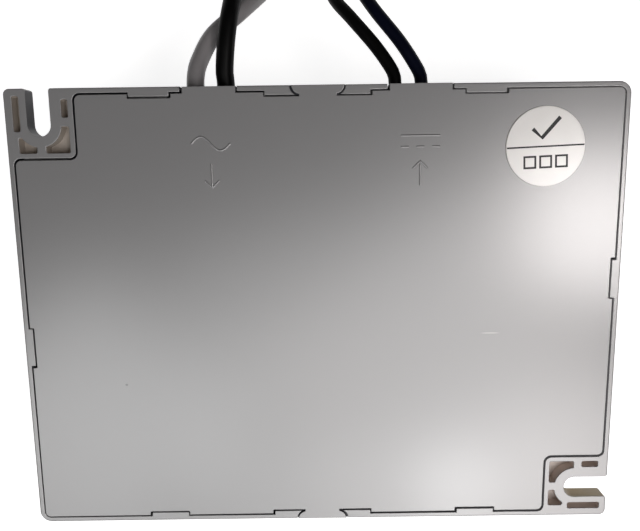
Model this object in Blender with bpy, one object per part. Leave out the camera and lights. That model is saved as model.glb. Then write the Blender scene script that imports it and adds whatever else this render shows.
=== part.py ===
"""LED driver in a moulded, snap-together case with two slotted mounting ears.

It lies on the closed face of its case, so the flush base plate faces up (+Z). The leads leave the
+Y side beside the plate. The origin is under the middle of the case, on the surface it lies on.
Lengths are in metres.
"""

import math

import bmesh
import bpy
from mathutils import Vector

# Fit between pieces
GAP = 0.0003
LABEL_GAP = 0.00005

# Case
LENGTH = 0.102
WIDTH = 0.076
HEIGHT = 0.030
WALL = 0.0018
RIM_WALL = 0.00085
FLOOR = 0.0020
DRAFT = 0.0004
CORNER_RADIUS = 0.0020
INNER_RADIUS = 0.0002
FOOT_CHAMFER = 0.0008
NOTCH = 0.01035

# Slotted ears, given from the ear's own corner of the case
EAR_THICKNESS = 0.0030
EAR_OVERLAP = CORNER_RADIUS + GAP
EAR_CORNER_RADIUS = 0.0010
SLOT_WIDTH = 0.0038
SLOT_OFFSET = 0.0055
SLOT_DEPTH = 0.0077
SLOT_MOUTH_RADIUS = 0.0005
SLOT_BOSS_RADIUS = 0.00365
POCKET_DEPTH = 0.0022
POCKET_RADIUS = 0.0003
LONG_POCKET = ((0.00135, 0.0012), (0.00245, 0.0069))
SHORT_POCKET = ((0.0093, 0.0018), (NOTCH, 0.0047))
WIDE_POCKET = ((0.0064, 0.0061), (NOTCH, 0.0104))
NARROW_POCKET = ((0.0020, 0.0079), (0.0049, 0.0104))

# Base plate and its snap lugs
PLATE_THICKNESS = 0.0020
LUG_LENGTH = 0.0066
LUG_REACH = 0.0007
LUG_THICKNESS = 0.0011
LONG_SIDE_LUG_X = 0.02745
SHORT_SIDE_LUG_Y = 0.0054
TAB_HALF_WIDTH = 0.00445
TAB_ROOT_HALF_WIDTH = 0.0031
TAB_LUG_END = 0.0086
PLATE_RIB_HEIGHT = 0.0012
PLATE_RIB_WIDTH = 0.0012

# Round sticker
LABEL_RADIUS = 0.0065
LABEL_THICKNESS = 0.00015
LABEL_FROM_CORNER = (0.0137, 0.0103)

# Leads and the notches that they leave by
LEAD_DEPTH = 0.0040
AC_LEAD_DIAMETER = 0.0030
DC_LEAD_DIAMETER = 0.0022
AC_LEAD_X = (-0.0204, -0.0153)
DC_LEAD_X = (0.0130, 0.0174)
AC_NOTCH = (-0.0222, -0.0132)
DC_NOTCH = (0.0115, 0.0220)
LEAD_HOLE_INSET = 0.0090
AC_CONDUCTOR_DIAMETER = 0.0012
DC_CONDUCTOR_DIAMETER = 0.0009
TIP_LENGTH = 0.0070

# Coils in which the spare length is put away: x, and the distance out from the case
AC_COIL_AT = (-0.0200, 0.0570)
DC_COIL_AT = (0.0170, 0.0500)
AC_COIL_RADIUS = 0.0165
DC_COIL_RADIUS = 0.0125
AC_TURNS = (1.5, 2.0)
DC_TURNS = (1.5, 2.25)
AC_TIE_ANGLE = 100.0
DC_TIE_ANGLE = 25.0
TURN_SPACING = 1.05
COIL_RUN_UP = 0.0120
TIE_WIDTH = 0.0025
TIE_THICKNESS = 0.0008

# Circuit board
BOARD_THICKNESS = 0.0016
BOARD_HEIGHT = 0.0050
BOARD_CLEARANCE = 0.0008
BOSS_RADIUS = 0.0030
SCREW_RADIUS = 0.00125
SCREW_HEAD_RADIUS = 0.0023
SCREW_HEAD_HEIGHT = 0.0016
SCREW_LENGTH = 0.0040
BOSS_INSET = 0.0070
REST_BOSS_INSET = 0.0180
PIN_RADIUS = 0.0004
PIN_REACH = 0.0012

# Components; each place is a share of the case's length and width, so the layout spreads with it
TALL_CLEARANCE = 0.0020
CAN_CLEARANCE = 0.0035
FUSE_RADIUS = 0.00425
FUSE_HEIGHT = 0.0080
FUSE_PLACE = (-0.284, 0.283)
VARISTOR_RADIUS = 0.0055
VARISTOR_THICKNESS = 0.0045
VARISTOR_PLACE = (-0.402, 0.257)
DISC_STAND = 0.0015
X_CAPACITOR_SIZE = (0.0160, 0.0085, 0.0145)
X_CAPACITOR_PLACE = (-0.368, 0.125)
CHOKE_OUTER_RADIUS = 0.0090
CHOKE_INNER_RADIUS = 0.0048
CHOKE_HEIGHT = 0.0080
CHOKE_WIRE = 0.0011
CHOKE_WINDING_ANGLE = 140.0
CHOKE_PLACE = (-0.142, 0.164)
BRIDGE_SIZE = (0.0065, 0.0095, 0.0034)
BRIDGE_PLACE = (-0.422, -0.026)
BULK_RADIUS = 0.00625
BULK_PLACES = ((-0.382, -0.211), (-0.245, -0.145))
OUTPUT_CAPACITOR_RADIUS = 0.0050
OUTPUT_CAPACITOR_HEIGHT = 0.0150
OUTPUT_CAPACITOR_PLACES = ((0.412, 0.032), (0.412, -0.132))
SINK_THICKNESS = 0.0020
SINK_FLANGE = 0.0045
MOSFET_SINK_LENGTH = 0.0240
MOSFET_SINK_PLACE = (-0.235, -0.368)
DIODE_SINK_LENGTH = 0.0220
DIODE_SINK_PLACE = (0.294, -0.040)
TRANSISTOR_SIZE = (0.0100, 0.0045, 0.0150)
TRANSISTOR_TAB = (0.0100, 0.0013, 0.0065)
TRANSISTOR_STAND = 0.0010
LEG_PITCH = 0.00254
CORE_WIDTH = 0.0220
CORE_HALF_LENGTH = 0.0105
CORE_THICKNESS = 0.0070
CORE_LEG = 0.0070
CORE_SIDE_LEG = 0.0036
CORE_BACK = 0.0038
BOBBIN_WALL = 0.0010
BOBBIN_FLANGE = 0.0012
BOBBIN_STAND = 0.0015
BOBBIN_LIP = 0.0005
TRANSFORMER_PLACE = (0.078, -0.118)
Y_CAPACITOR_RADIUS = 0.0042
Y_CAPACITOR_THICKNESS = 0.0032
Y_CAPACITOR_PLACE = (0.049, 0.145)
OPTOCOUPLER_SIZE = (0.0046, 0.0065, 0.0035)
OPTOCOUPLER_PLACE = (0.078, -0.395)
CONTROLLER_SIZE = (0.0050, 0.0040, 0.0015)
CONTROLLER_PLACE = (-0.049, -0.382)
INDUCTOR_RADIUS = 0.0055
INDUCTOR_HEIGHT = 0.0110
INDUCTOR_FLANGE = 0.0015
INDUCTOR_PLACE = (0.294, 0.250)

# Facets
ARC_STEPS = 4
ROUND = 24
FINE_ROUND = 48

PLATE_Z = HEIGHT - PLATE_THICKNESS
SEAT_Z = PLATE_Z - GAP
LUG_Z = HEIGHT - LUG_THICKNESS
LEAD_Z = HEIGHT - LEAD_DEPTH
BOARD_TOP = BOARD_HEIGHT + BOARD_THICKNESS
PLATE_INSET = RIM_WALL + GAP
BOSS_X = LENGTH / 2 - BOSS_INSET
BOSS_Y = WIDTH / 2 - BOSS_INSET
REST_BOSS_X = LENGTH / 2 - REST_BOSS_INSET
SCREW_BOSSES = ((-BOSS_X, -BOSS_Y), (BOSS_X, BOSS_Y))
REST_BOSSES = ((-REST_BOSS_X, BOSS_Y), (REST_BOSS_X, -BOSS_Y))
RIM_Y = WIDTH / 2 - RIM_WALL
RIM_X = LENGTH / 2 - RIM_WALL


# Materials

def make_material(name, colour, roughness, metallic=0.0):
    """Make a Principled material."""
    material = bpy.data.materials.new(name)
    material.use_nodes = True
    shader = material.node_tree.nodes["Principled BSDF"]
    shader.inputs["Base Color"].default_value = (*colour, 1.0)
    shader.inputs["Roughness"].default_value = roughness
    shader.inputs["Metallic"].default_value = metallic
    material.diffuse_color = (*colour, 1.0)
    return material


# Outlines

def inset_corners(corners, inset):
    """Move each side of a right-angled, anticlockwise outline inwards."""
    moved = []
    for index, corner in enumerate(corners):
        before = (corner - corners[index - 1]).normalized()
        after = (corners[(index + 1) % len(corners)] - corner).normalized()
        moved.append(corner + inset * (before.orthogonal() + after.orthogonal()))
    return moved


def round_corners(corners, outer, inner=None, steps=ARC_STEPS):
    """Fillet a right-angled, anticlockwise outline, with its own radius on inner corners."""
    points = []
    for index, corner in enumerate(corners):
        before = (corner - corners[index - 1]).normalized()
        after = (corners[(index + 1) % len(corners)] - corner).normalized()
        radius = inner if inner is not None and before.cross(after) < 0 else outer
        centre = corner + radius * (after - before)
        for step in range(steps + 1):
            angle = 0.5 * math.pi * step / steps
            points.append(centre - radius * math.cos(angle) * after + radius * math.sin(angle) * before)
    return points


def rectangle(low, high):
    """Give the corners of a rectangle, anticlockwise."""
    return [Vector(p) for p in ((low[0], low[1]), (high[0], low[1]), (high[0], high[1]), (low[0], high[1]))]


def centred_rectangle(centre, size):
    """Give the corners of a rectangle around its centre."""
    low = (centre[0] - size[0] / 2, centre[1] - size[1] / 2)
    high = (centre[0] + size[0] / 2, centre[1] + size[1] / 2)
    return rectangle(low, high)


def circle(centre, radius, count=ROUND):
    """Give points around a circle, anticlockwise."""
    turns = (2 * math.pi * step / count for step in range(count))
    return [Vector((centre[0] + radius * math.cos(a), centre[1] + radius * math.sin(a))) for a in turns]


def case_outline(inset, notch=NOTCH):
    """Give the case's outline, a rectangle without the two corners that the ears cover."""
    x = LENGTH / 2
    y = WIDTH / 2
    corners = [
        Vector((x, y)), Vector((notch - x, y)), Vector((notch - x, y - notch)), Vector((-x, y - notch)),
        Vector((-x, -y)), Vector((x - notch, -y)), Vector((x - notch, notch - y)), Vector((x, notch - y)),
    ]
    outer = max(CORNER_RADIUS - inset, INNER_RADIUS)
    return round_corners(inset_corners(corners, inset), outer, INNER_RADIUS + inset)


def upper_left_ear(point):
    """Place a point of the ear's own frame on the ear at -X, +Y."""
    return Vector((point[0] - LENGTH / 2, WIDTH / 2 - point[1]))


def lower_right_ear(point):
    """Place the same point on the ear at +X, -Y, which is its mirror image over the diagonal."""
    return Vector((LENGTH / 2 - point[1], point[0] - WIDTH / 2))


def on_board(place):
    """Turn a component's share of the case's length and width into its place."""
    return Vector((place[0] * LENGTH, place[1] * WIDTH))


def placed(points, place):
    """Place an outline on an ear and keep it anticlockwise."""
    moved = [place(p) for p in points]
    area = sum(moved[i - 1].cross(moved[i]) for i in range(len(moved)))
    return moved if area > 0 else moved[::-1]


# Solids

def add_object(name, mesh_builder, material=None):
    """Turn a bmesh into an object."""
    bmesh.ops.recalc_face_normals(mesh_builder, faces=mesh_builder.faces)
    mesh = bpy.data.meshes.new(name)
    mesh_builder.to_mesh(mesh)
    mesh_builder.free()
    solid = bpy.data.objects.new(name, mesh)
    bpy.context.collection.objects.link(solid)
    if material is not None:
        mesh.materials.append(material)
    return solid


def loft(name, sections, material=None):
    """Join outlines of equal count, each at its height, into one capped solid."""
    builder = bmesh.new()
    rings = [[builder.verts.new((p.x, p.y, z)) for p in outline] for z, outline in sections]
    builder.faces.new(rings[0][::-1])
    builder.faces.new(rings[-1])
    for lower, upper in zip(rings, rings[1:]):
        for index in range(len(lower)):
            builder.faces.new((lower[index - 1], lower[index], upper[index], upper[index - 1]))
    return add_object(name, builder, material)


def prism(name, outline, low, high, material=None):
    """Extrude an outline from one height to another."""
    return loft(name, [(low, outline), (high, outline)], material)


def turned(name, profile, centre, material=None, count=ROUND):
    """Turn a closed profile of (radius, height) points about a vertical axis."""
    builder = bmesh.new()
    rings = []
    for radius, height in profile:
        if radius == 0:
            rings.append([builder.verts.new((centre[0], centre[1], height))] * count)
        else:
            rings.append([builder.verts.new((p.x, p.y, height)) for p in circle(centre, radius, count)])
    closed = profile[0][0] > 0
    pairs = zip(rings, rings[1:] + rings[:1]) if closed else zip(rings, rings[1:])
    for first, second in pairs:
        for index in range(count):
            corners = (first[index - 1], first[index], second[index], second[index - 1])
            builder.faces.new(list(dict.fromkeys(corners)))
    solid = add_object(name, builder, material)
    solid.data.shade_smooth()
    solid.data.set_sharp_from_angle(angle=math.radians(30))
    return solid


def combine(target, others, operation):
    """Join other solids to a target, or cut them from it, and drop them."""
    for other in others:
        modifier = target.modifiers.new(other.name, "BOOLEAN")
        modifier.operation = operation
        modifier.object = other
    bpy.context.view_layer.update()
    result = target.evaluated_get(bpy.context.evaluated_depsgraph_get())
    mesh = bpy.data.meshes.new_from_object(result)
    target.modifiers.clear()
    target.data = mesh
    for other in others:
        bpy.data.objects.remove(other)
    return target


def soften(solid, width, segments=1):
    """Bevel a solid's sharp edges."""
    modifier = solid.modifiers.new("edges", "BEVEL")
    modifier.width = width
    modifier.segments = segments
    modifier.limit_method = "ANGLE"
    modifier.angle_limit = math.radians(40)
    return solid


def quarter_turn(solid, centre, axis):
    """Turn a solid by 90 degrees about a point."""
    pivot = Vector(centre)
    for vertex in solid.data.vertices:
        x, y, z = vertex.co - pivot
        vertex.co = pivot + (Vector((x, -z, y)) if axis == "X" else Vector((z, y, -x)))
    return solid


def pins(centre, offsets, top, radius=PIN_RADIUS):
    """Make the round pins that carry a component down through the board."""
    low = BOARD_HEIGHT - PIN_REACH
    return [
        prism("pin", circle((centre[0] + x, centre[1] + y), radius, 8), low, top)
        for x, y in offsets
    ]


# Case

def flared_tab(side, grow):
    """Give the outline of the tab that crosses the rim, with its two curved flanks."""
    outer = WIDTH / 2 + (GAP if grow > 0 else 0)
    flank = TAB_HALF_WIDTH - TAB_ROOT_HALF_WIDTH
    depth = WIDTH / 2 - RIM_Y + LUG_REACH
    radius = (flank ** 2 + depth ** 2) / (2 * flank)
    sweep = math.asin(depth / radius)
    right = []
    for step in range(ARC_STEPS + 1):
        angle = sweep * step / ARC_STEPS
        x = TAB_HALF_WIDTH - radius + (radius + grow) * math.cos(angle)
        right.append(Vector((x, WIDTH / 2 - (radius + grow) * math.sin(angle))))
    right[0].y = outer
    root = RIM_Y - LUG_REACH - 2 * GAP
    right.append(Vector((right[-1].x, root)))
    left = [Vector((-p.x, p.y)) for p in right]
    points = left + right[::-1]
    return points if side > 0 else [Vector((p.x, -p.y)) for p in points][::-1]


def lug_outlines(grow):
    """Give the outlines of the snap lugs on the rim's inner face."""
    half = LUG_LENGTH / 2 + grow
    outlines = []
    for side in (-1, 1):
        inner_y = side * (RIM_Y - LUG_REACH - grow)
        outer_y = side * (RIM_Y + RIM_WALL / 2)
        spans = [(sign * LONG_SIDE_LUG_X - half, sign * LONG_SIDE_LUG_X + half) for sign in (-1, 1)]
        end = TAB_LUG_END + grow
        spans += [(-end, -TAB_ROOT_HALF_WIDTH / 2), (TAB_ROOT_HALF_WIDTH / 2, end)]
        for low, high in spans:
            outlines.append(rectangle((low, min(inner_y, outer_y)), (high, max(inner_y, outer_y))))
        inner_x = side * (RIM_X - LUG_REACH - grow)
        outer_x = side * (RIM_X + RIM_WALL / 2)
        centre_y = side * SHORT_SIDE_LUG_Y
        low = (min(inner_x, outer_x), centre_y - half)
        outlines.append(rectangle(low, (max(inner_x, outer_x), centre_y + half)))
    return outlines


def lead_bores(positions, diameter, low, high):
    """Make the round bores that the leads pass through, along Y."""
    radius = diameter / 2 + GAP
    bores = []
    for x in positions:
        profile = [(0, -high), (radius, -high), (radius, -low), (0, -low)]
        bore = quarter_turn(turned("bore", profile, (x, 0), count=16), (x, 0, 0), "X")
        for vertex in bore.data.vertices:
            vertex.co.z += LEAD_Z
        bores.append(bore)
    return bores


def slot_outline(place):
    """Give an ear's open slot: a rounded mouth, straight sides and a half-round end."""
    half = SLOT_WIDTH / 2
    mouth = SLOT_MOUTH_RADIUS
    side = [(-half - mouth, -GAP)]
    for step in range(ARC_STEPS + 1):
        angle = 0.5 * math.pi * step / ARC_STEPS
        side.append((-half - mouth * (1 - math.sin(angle)), mouth * (1 - math.cos(angle))))
    for step in range(ARC_STEPS + 1):
        angle = 0.5 * math.pi * step / ARC_STEPS
        side.append((-half * math.cos(angle), SLOT_DEPTH - half * (1 - math.sin(angle))))
    other_side = [(-x, y) for x, y in side[-2::-1]]
    return placed([(SLOT_OFFSET + x, y) for x, y in side + other_side], place)


def ear_solids(place):
    """Make an ear's flange, and its slot and cored pockets as cutters."""
    size = NOTCH + EAR_OVERLAP
    low = HEIGHT - EAR_THICKNESS
    blank = placed(rectangle((0, 0), (size, size)), place)
    corners = []
    own_corner = place((0, 0))
    for index, corner in enumerate(blank):
        if (corner - own_corner).length < GAP:
            before = (corner - blank[index - 1]).normalized()
            after = (blank[(index + 1) % 4] - corner).normalized()
            radius = EAR_CORNER_RADIUS
            centre = corner + radius * (after - before)
            for step in range(ARC_STEPS + 1):
                angle = 0.5 * math.pi * step / ARC_STEPS
                corners.append(centre - radius * (math.cos(angle) * after - math.sin(angle) * before))
        else:
            corners.append(corner)
    flange = prism("ear", corners, low, HEIGHT)

    cutters = [prism("slot", slot_outline(place), low - GAP, HEIGHT + GAP)]

    pocket_low = HEIGHT - POCKET_DEPTH
    slot_end = (SLOT_OFFSET, SLOT_DEPTH - SLOT_WIDTH / 2)
    boss_outline = placed(circle(slot_end, SLOT_BOSS_RADIUS), place)
    for corner_pair in (LONG_POCKET, SHORT_POCKET, WIDE_POCKET, NARROW_POCKET):
        outline = round_corners(placed(rectangle(*corner_pair), place), POCKET_RADIUS, steps=2)
        pocket = prism("pocket", outline, pocket_low, HEIGHT + GAP)
        if corner_pair in (WIDE_POCKET, NARROW_POCKET):
            boss = prism("slot_boss", boss_outline, pocket_low - GAP, HEIGHT + 2 * GAP)
            combine(pocket, [boss], "DIFFERENCE")
        cutters.append(pocket)
    return flange, cutters


def make_housing(material):
    """Make the cup: drafted walls, a stepped rim for the plate, ears, lugs, notches and bosses."""
    foot = case_outline(DRAFT + FOOT_CHAMFER)
    shoulder = case_outline(DRAFT)
    housing = loft("housing", [(0, foot), (FOOT_CHAMFER, shoulder), (HEIGHT, case_outline(0))], material)

    ears = [ear_solids(place) for place in (upper_left_ear, lower_right_ear)]
    combine(housing, [flange for flange, _ in ears], "UNION")

    hollow = loft("hollow", [
        (FLOOR, case_outline(WALL + DRAFT)),
        (SEAT_Z, case_outline(WALL)),
        (SEAT_Z, case_outline(RIM_WALL)),
        (HEIGHT + GAP, case_outline(RIM_WALL)),
    ])
    combine(housing, [hollow], "DIFFERENCE")

    lugs = [prism("lug", outline, LUG_Z, HEIGHT) for outline in lug_outlines(0)]
    combine(housing, lugs, "UNION")

    cutters = [cutter for _, pockets in ears for cutter in pockets]
    for side in (-1, 1):
        cutters.append(prism("tab_gap", flared_tab(side, GAP / 2), SEAT_Z, HEIGHT + GAP))
    for notch, positions, diameter in (
        (AC_NOTCH, AC_LEAD_X, AC_LEAD_DIAMETER),
        (DC_NOTCH, DC_LEAD_X, DC_LEAD_DIAMETER),
    ):
        low = (notch[0] - GAP / 2, WIDTH / 2 - WALL - DRAFT)
        high = (notch[1] + GAP / 2, WIDTH / 2 + GAP)
        cutters.append(prism("notch", rectangle(low, high), LEAD_Z, HEIGHT + GAP))
        cutters += lead_bores(positions, diameter, low[1] - GAP, high[1])
    combine(housing, cutters, "DIFFERENCE")

    bosses = []
    for centre in SCREW_BOSSES + REST_BOSSES:
        bosses.append(prism("boss", circle(centre, BOSS_RADIUS, 16), FLOOR / 2, BOARD_HEIGHT - GAP))
    combine(housing, bosses, "UNION")
    pilot = SCREW_RADIUS + GAP
    holes = [prism("pilot", circle(c, pilot, 12), FLOOR, BOARD_HEIGHT) for c in SCREW_BOSSES]
    return combine(housing, holes, "DIFFERENCE")


def make_base_plate(material):
    """Make the flush plate: lip under the lugs, tabs across the rim and tongues over the leads."""
    plate = prism("base_plate", case_outline(PLATE_INSET), PLATE_Z, HEIGHT, material)
    lug_notches = [prism("lug_notch", lug, LUG_Z - GAP, HEIGHT + GAP) for lug in lug_outlines(GAP)]
    combine(plate, lug_notches, "DIFFERENCE")

    additions = [prism("tab", flared_tab(side, -GAP / 2), PLATE_Z, HEIGHT) for side in (-1, 1)]
    inner_y = WIDTH / 2 - PLATE_INSET - RIM_WALL
    tongue_y = WIDTH / 2 - WALL + GAP
    for low_x, high_x in (AC_NOTCH, DC_NOTCH):
        left = low_x + GAP / 2
        right = high_x - GAP / 2
        tab = rectangle((left, inner_y), (right, WIDTH / 2))
        tongue = rectangle((left, tongue_y), (right, WIDTH / 2))
        additions.append(prism("wire_tab", tab, PLATE_Z, HEIGHT))
        additions.append(prism("tongue", tongue, LEAD_Z + GAP, HEIGHT - PLATE_THICKNESS / 2))
    rib_inset = WALL + DRAFT + 2 * GAP
    rib_low = PLATE_Z - PLATE_RIB_HEIGHT
    rib = prism("rib", case_outline(rib_inset), rib_low, PLATE_Z + GAP)
    inside_outline = case_outline(rib_inset + PLATE_RIB_WIDTH)
    rib_inside = prism("rib_inside", inside_outline, rib_low - GAP, PLATE_Z + 2 * GAP)
    additions.append(combine(rib, [rib_inside], "DIFFERENCE"))
    combine(plate, additions, "UNION")

    bores = []
    for positions, diameter in ((AC_LEAD_X, AC_LEAD_DIAMETER), (DC_LEAD_X, DC_LEAD_DIAMETER)):
        bores += lead_bores(positions, diameter, WIDTH / 2 - 3 * WALL, WIDTH / 2 + GAP)
    return combine(plate, bores, "DIFFERENCE")


def make_label(material):
    """Make the round sticker."""
    low = HEIGHT + LABEL_GAP
    centre = (LENGTH / 2 - LABEL_FROM_CORNER[0], WIDTH / 2 - LABEL_FROM_CORNER[1])
    outline = circle(centre, LABEL_RADIUS, FINE_ROUND)
    return prism("inspection_label", outline, low, low + LABEL_THICKNESS, material)


# Circuit board and what stands on it

def make_board(material, holes):
    """Make the board with its screw holes and the holes for the component pins."""
    outline = case_outline(WALL + DRAFT + BOARD_CLEARANCE)
    board = prism("circuit_board", outline, BOARD_HEIGHT, BOARD_TOP, material)
    rounds = [circle(centre, SCREW_RADIUS + GAP, 12) for centre in SCREW_BOSSES]
    rounds += [circle(centre, PIN_RADIUS + GAP, 8) for centre in holes]
    cutters = [prism("hole", outline, BOARD_HEIGHT - GAP, BOARD_TOP + GAP) for outline in rounds]
    return combine(board, cutters, "DIFFERENCE")


def make_screw(name, centre, material):
    """Make a pan-head screw that holds the board on its boss."""
    seat = BOARD_TOP + GAP
    top = seat + SCREW_HEAD_HEIGHT
    end = seat - BOARD_THICKNESS - SCREW_LENGTH / 2
    profile = [
        (0, end), (SCREW_RADIUS * 0.6, end), (SCREW_RADIUS, end + SCREW_RADIUS), (SCREW_RADIUS, seat),
        (SCREW_HEAD_RADIUS, seat), (SCREW_HEAD_RADIUS, seat + SCREW_HEAD_HEIGHT / 2),
        (SCREW_HEAD_RADIUS * 0.7, top), (0, top),
    ]
    return turned(name, profile, centre, material, 16)


def make_can(name, centre, radius, height, material):
    """Make an electrolytic capacitor with its rolled groove and crimped foot."""
    low = BOARD_TOP + GAP
    top = low + height
    groove = radius * 0.08
    profile = [
        (0, low), (radius - groove, low), (radius, low + groove), (radius, low + 3 * groove),
        (radius - groove, low + 4 * groove), (radius, low + 5 * groove), (radius, top - groove),
        (radius - groove, top), (radius * 0.75, top), (radius * 0.72, top - groove / 2),
        (0, top - groove / 2),
    ]
    return turned(name, profile, centre, material)


def disc_pins(radius):
    """Give the offsets of a disc's two leads."""
    return ((-radius / 2, 0), (radius / 2, 0))


def make_disc(name, centre, radius, thickness, material):
    """Make a coated disc that stands on edge on two leads."""
    middle = BOARD_TOP + DISC_STAND + radius
    half = thickness / 2
    profile = [
        (0, middle - half * 0.8), (radius * 0.7, middle - half), (radius * 0.94, middle - half * 0.7),
        (radius, middle), (radius * 0.94, middle + half * 0.7), (radius * 0.7, middle + half),
        (0, middle + half * 0.8),
    ]
    disc = turned(name, profile, centre, material)
    quarter_turn(disc, (*centre, middle), "X")
    return combine(disc, pins(centre, disc_pins(radius), middle - radius / 2), "UNION")


def make_package(name, centre, size, material, chamfer):
    """Make a moulded package that lies on the board."""
    low = BOARD_TOP + GAP
    return soften(prism(name, centred_rectangle(centre, size), low, low + size[2], material), chamfer)


def make_choke(core_material, winding_material):
    """Make the common-mode choke: a ring core between two wound sleeves."""
    low = BOARD_TOP + GAP + CHOKE_WIRE + GAP
    top = low + CHOKE_HEIGHT
    bevel = CHOKE_WIRE / 2
    inner = CHOKE_INNER_RADIUS
    outer = CHOKE_OUTER_RADIUS
    profile = [
        (inner, low + bevel), (inner + bevel, low), (outer - bevel, low), (outer, low + bevel),
        (outer, top - bevel), (outer - bevel, top), (inner + bevel, top), (inner, top - bevel),
    ]
    place = on_board(CHOKE_PLACE)
    turned("choke_core", profile, place, core_material)
    steps = 12
    for number, start in ((1, 0.0), (2, 180.0)):
        builder = bmesh.new()
        loops = []
        for step in range(steps + 1):
            angle = math.radians(start + CHOKE_WINDING_ANGLE * (step / steps - 0.5))
            across = Vector((math.cos(angle), math.sin(angle), 0))
            centre = place.to_3d()
            pair = []
            for offset in (GAP, GAP + CHOKE_WIRE):
                corners = ((inner - offset, low - offset), (outer + offset, low - offset),
                           (outer + offset, top + offset), (inner - offset, top + offset))
                pair.append([builder.verts.new(centre + across * r + Vector((0, 0, z))) for r, z in corners])
            loops.append(pair)
        for (inside_a, outside_a), (inside_b, outside_b) in zip(loops, loops[1:]):
            for index in range(4):
                quad = (outside_a[index - 1], outside_a[index], outside_b[index], outside_b[index - 1])
                builder.faces.new(quad)
                quad = (inside_a[index], inside_a[index - 1], inside_b[index - 1], inside_b[index])
                builder.faces.new(quad)
        for inside, outside in (loops[0], loops[-1]):
            for index in range(4):
                builder.faces.new((inside[index - 1], inside[index], outside[index], outside[index - 1]))
        add_object(f"choke_winding_{number}", builder, winding_material)


def make_transistor(name, sink_face, facing, body_material):
    """Make a three-legged power device that stands with its tab against a heatsink.

    sink_face is the middle of the sink's face, and facing points from the sink to the device.
    """
    low = BOARD_TOP + TRANSISTOR_STAND
    width, depth, height = TRANSISTOR_SIZE
    along = Vector((-facing.y, facing.x))

    def flat(across, out_low, out_high):
        centre = sink_face + facing * (out_low + out_high) / 2
        size = along * across + facing * (out_high - out_low)
        return centred_rectangle(centre, (abs(size.x), abs(size.y)))

    body = prism(name, flat(width, GAP, GAP + depth), low, low + height - TRANSISTOR_TAB[2], body_material)
    tab = prism("tab", flat(TRANSISTOR_TAB[0] - GAP, GAP, GAP + TRANSISTOR_TAB[1]), low + GAP, low + height)
    centre = sink_face + facing * (GAP + depth / 2)
    legs = pins(centre, [along * step * LEG_PITCH for step in (-1, 0, 1)], low + GAP)
    return combine(body, [tab] + legs, "UNION")


def transistor_holes(sink_face, facing):
    """Give the board holes for a power device's legs."""
    along = Vector((-facing.y, facing.x))
    centre = sink_face + facing * (GAP + TRANSISTOR_SIZE[1] / 2)
    return [centre + along * step * LEG_PITCH for step in (-1, 0, 1)]


def make_sink(name, centre, length, facing, material):
    """Make a heatsink bent from sheet: an upright plate with a flange folded away from its device."""
    low = BOARD_TOP + GAP
    top = PLATE_Z - TALL_CLEARANCE
    thick = SINK_THICKNESS / 2
    bend = -thick - SINK_FLANGE
    section = [(-thick, low), (thick, low), (thick, top), (bend, top), (bend, top - SINK_THICKNESS),
               (-thick, top - SINK_THICKNESS)]
    along = facing.orthogonal()
    builder = bmesh.new()
    rings = []
    for end in (-length / 2, length / 2):
        places = [(Vector(centre) + along * end + facing * across, z) for across, z in section]
        rings.append([builder.verts.new((place.x, place.y, z)) for place, z in places])
    builder.faces.new(rings[0])
    builder.faces.new(rings[1][::-1])
    for index in range(len(section)):
        builder.faces.new((rings[0][index - 1], rings[0][index], rings[1][index], rings[1][index - 1]))
    return add_object(name, builder, material)


def make_transformer(core_material, bobbin_material, winding_material):
    """Make the transformer: two E cores that meet inside a wound bobbin."""
    half_leg = CORE_LEG / 2
    tube_half = half_leg + GAP + BOBBIN_WALL
    flange_half = CORE_WIDTH / 2 - CORE_SIDE_LEG - GAP
    window = CORE_HALF_LENGTH - CORE_BACK
    x, y = on_board(TRANSFORMER_PLACE)
    middle = BOARD_TOP + GAP + BOBBIN_STAND + flange_half
    low = middle - CORE_THICKNESS / 2
    high = middle + CORE_THICKNESS / 2
    side = CORE_WIDTH / 2
    for number, sign in ((1, -1), (2, 1)):
        half = [
            (-side, GAP / 2), (-side + CORE_SIDE_LEG, GAP / 2), (-side + CORE_SIDE_LEG, window),
            (-half_leg, window), (-half_leg, GAP / 2), (half_leg, GAP / 2), (half_leg, window),
            (side - CORE_SIDE_LEG, window), (side - CORE_SIDE_LEG, GAP / 2), (side, GAP / 2),
            (side, CORE_HALF_LENGTH), (-side, CORE_HALF_LENGTH),
        ]
        outline = [Vector((x + a * -sign, y + b * sign)) for a, b in half]
        prism(f"transformer_core_{number}", outline, low, high, core_material)

    def square_tube(name, half, start, end, material=None):
        outline = centred_rectangle((x, middle), (2 * half, 2 * half))
        solid = prism(name, round_corners(outline, GAP, steps=2), start, end, material)
        for vertex in solid.data.vertices:
            a, b, c = vertex.co
            vertex.co = (a, y + c, b)
        solid.data.flip_normals()
        return solid

    reach = window - GAP
    seat = BOARD_TOP + GAP
    tube_end = reach - BOBBIN_FLANGE / 2
    bobbin = square_tube("transformer_bobbin", tube_half, -tube_end, tube_end, bobbin_material)
    flanges = []
    for sign in (-1, 1):
        outline = centred_rectangle((x, y + sign * tube_end), (2 * flange_half, BOBBIN_FLANGE))
        flanges.append(prism("flange", outline, seat, middle + flange_half))
    combine(bobbin, flanges, "UNION")
    combine(bobbin, [square_tube("leg_space", half_leg + GAP, -window, window)], "DIFFERENCE")

    winding_end = reach - BOBBIN_FLANGE - GAP
    winding_half = flange_half - BOBBIN_LIP
    winding = square_tube("transformer_winding", winding_half, -winding_end, winding_end, winding_material)
    combine(winding, [square_tube("tube_space", tube_half + GAP, -window, window)], "DIFFERENCE")


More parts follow.
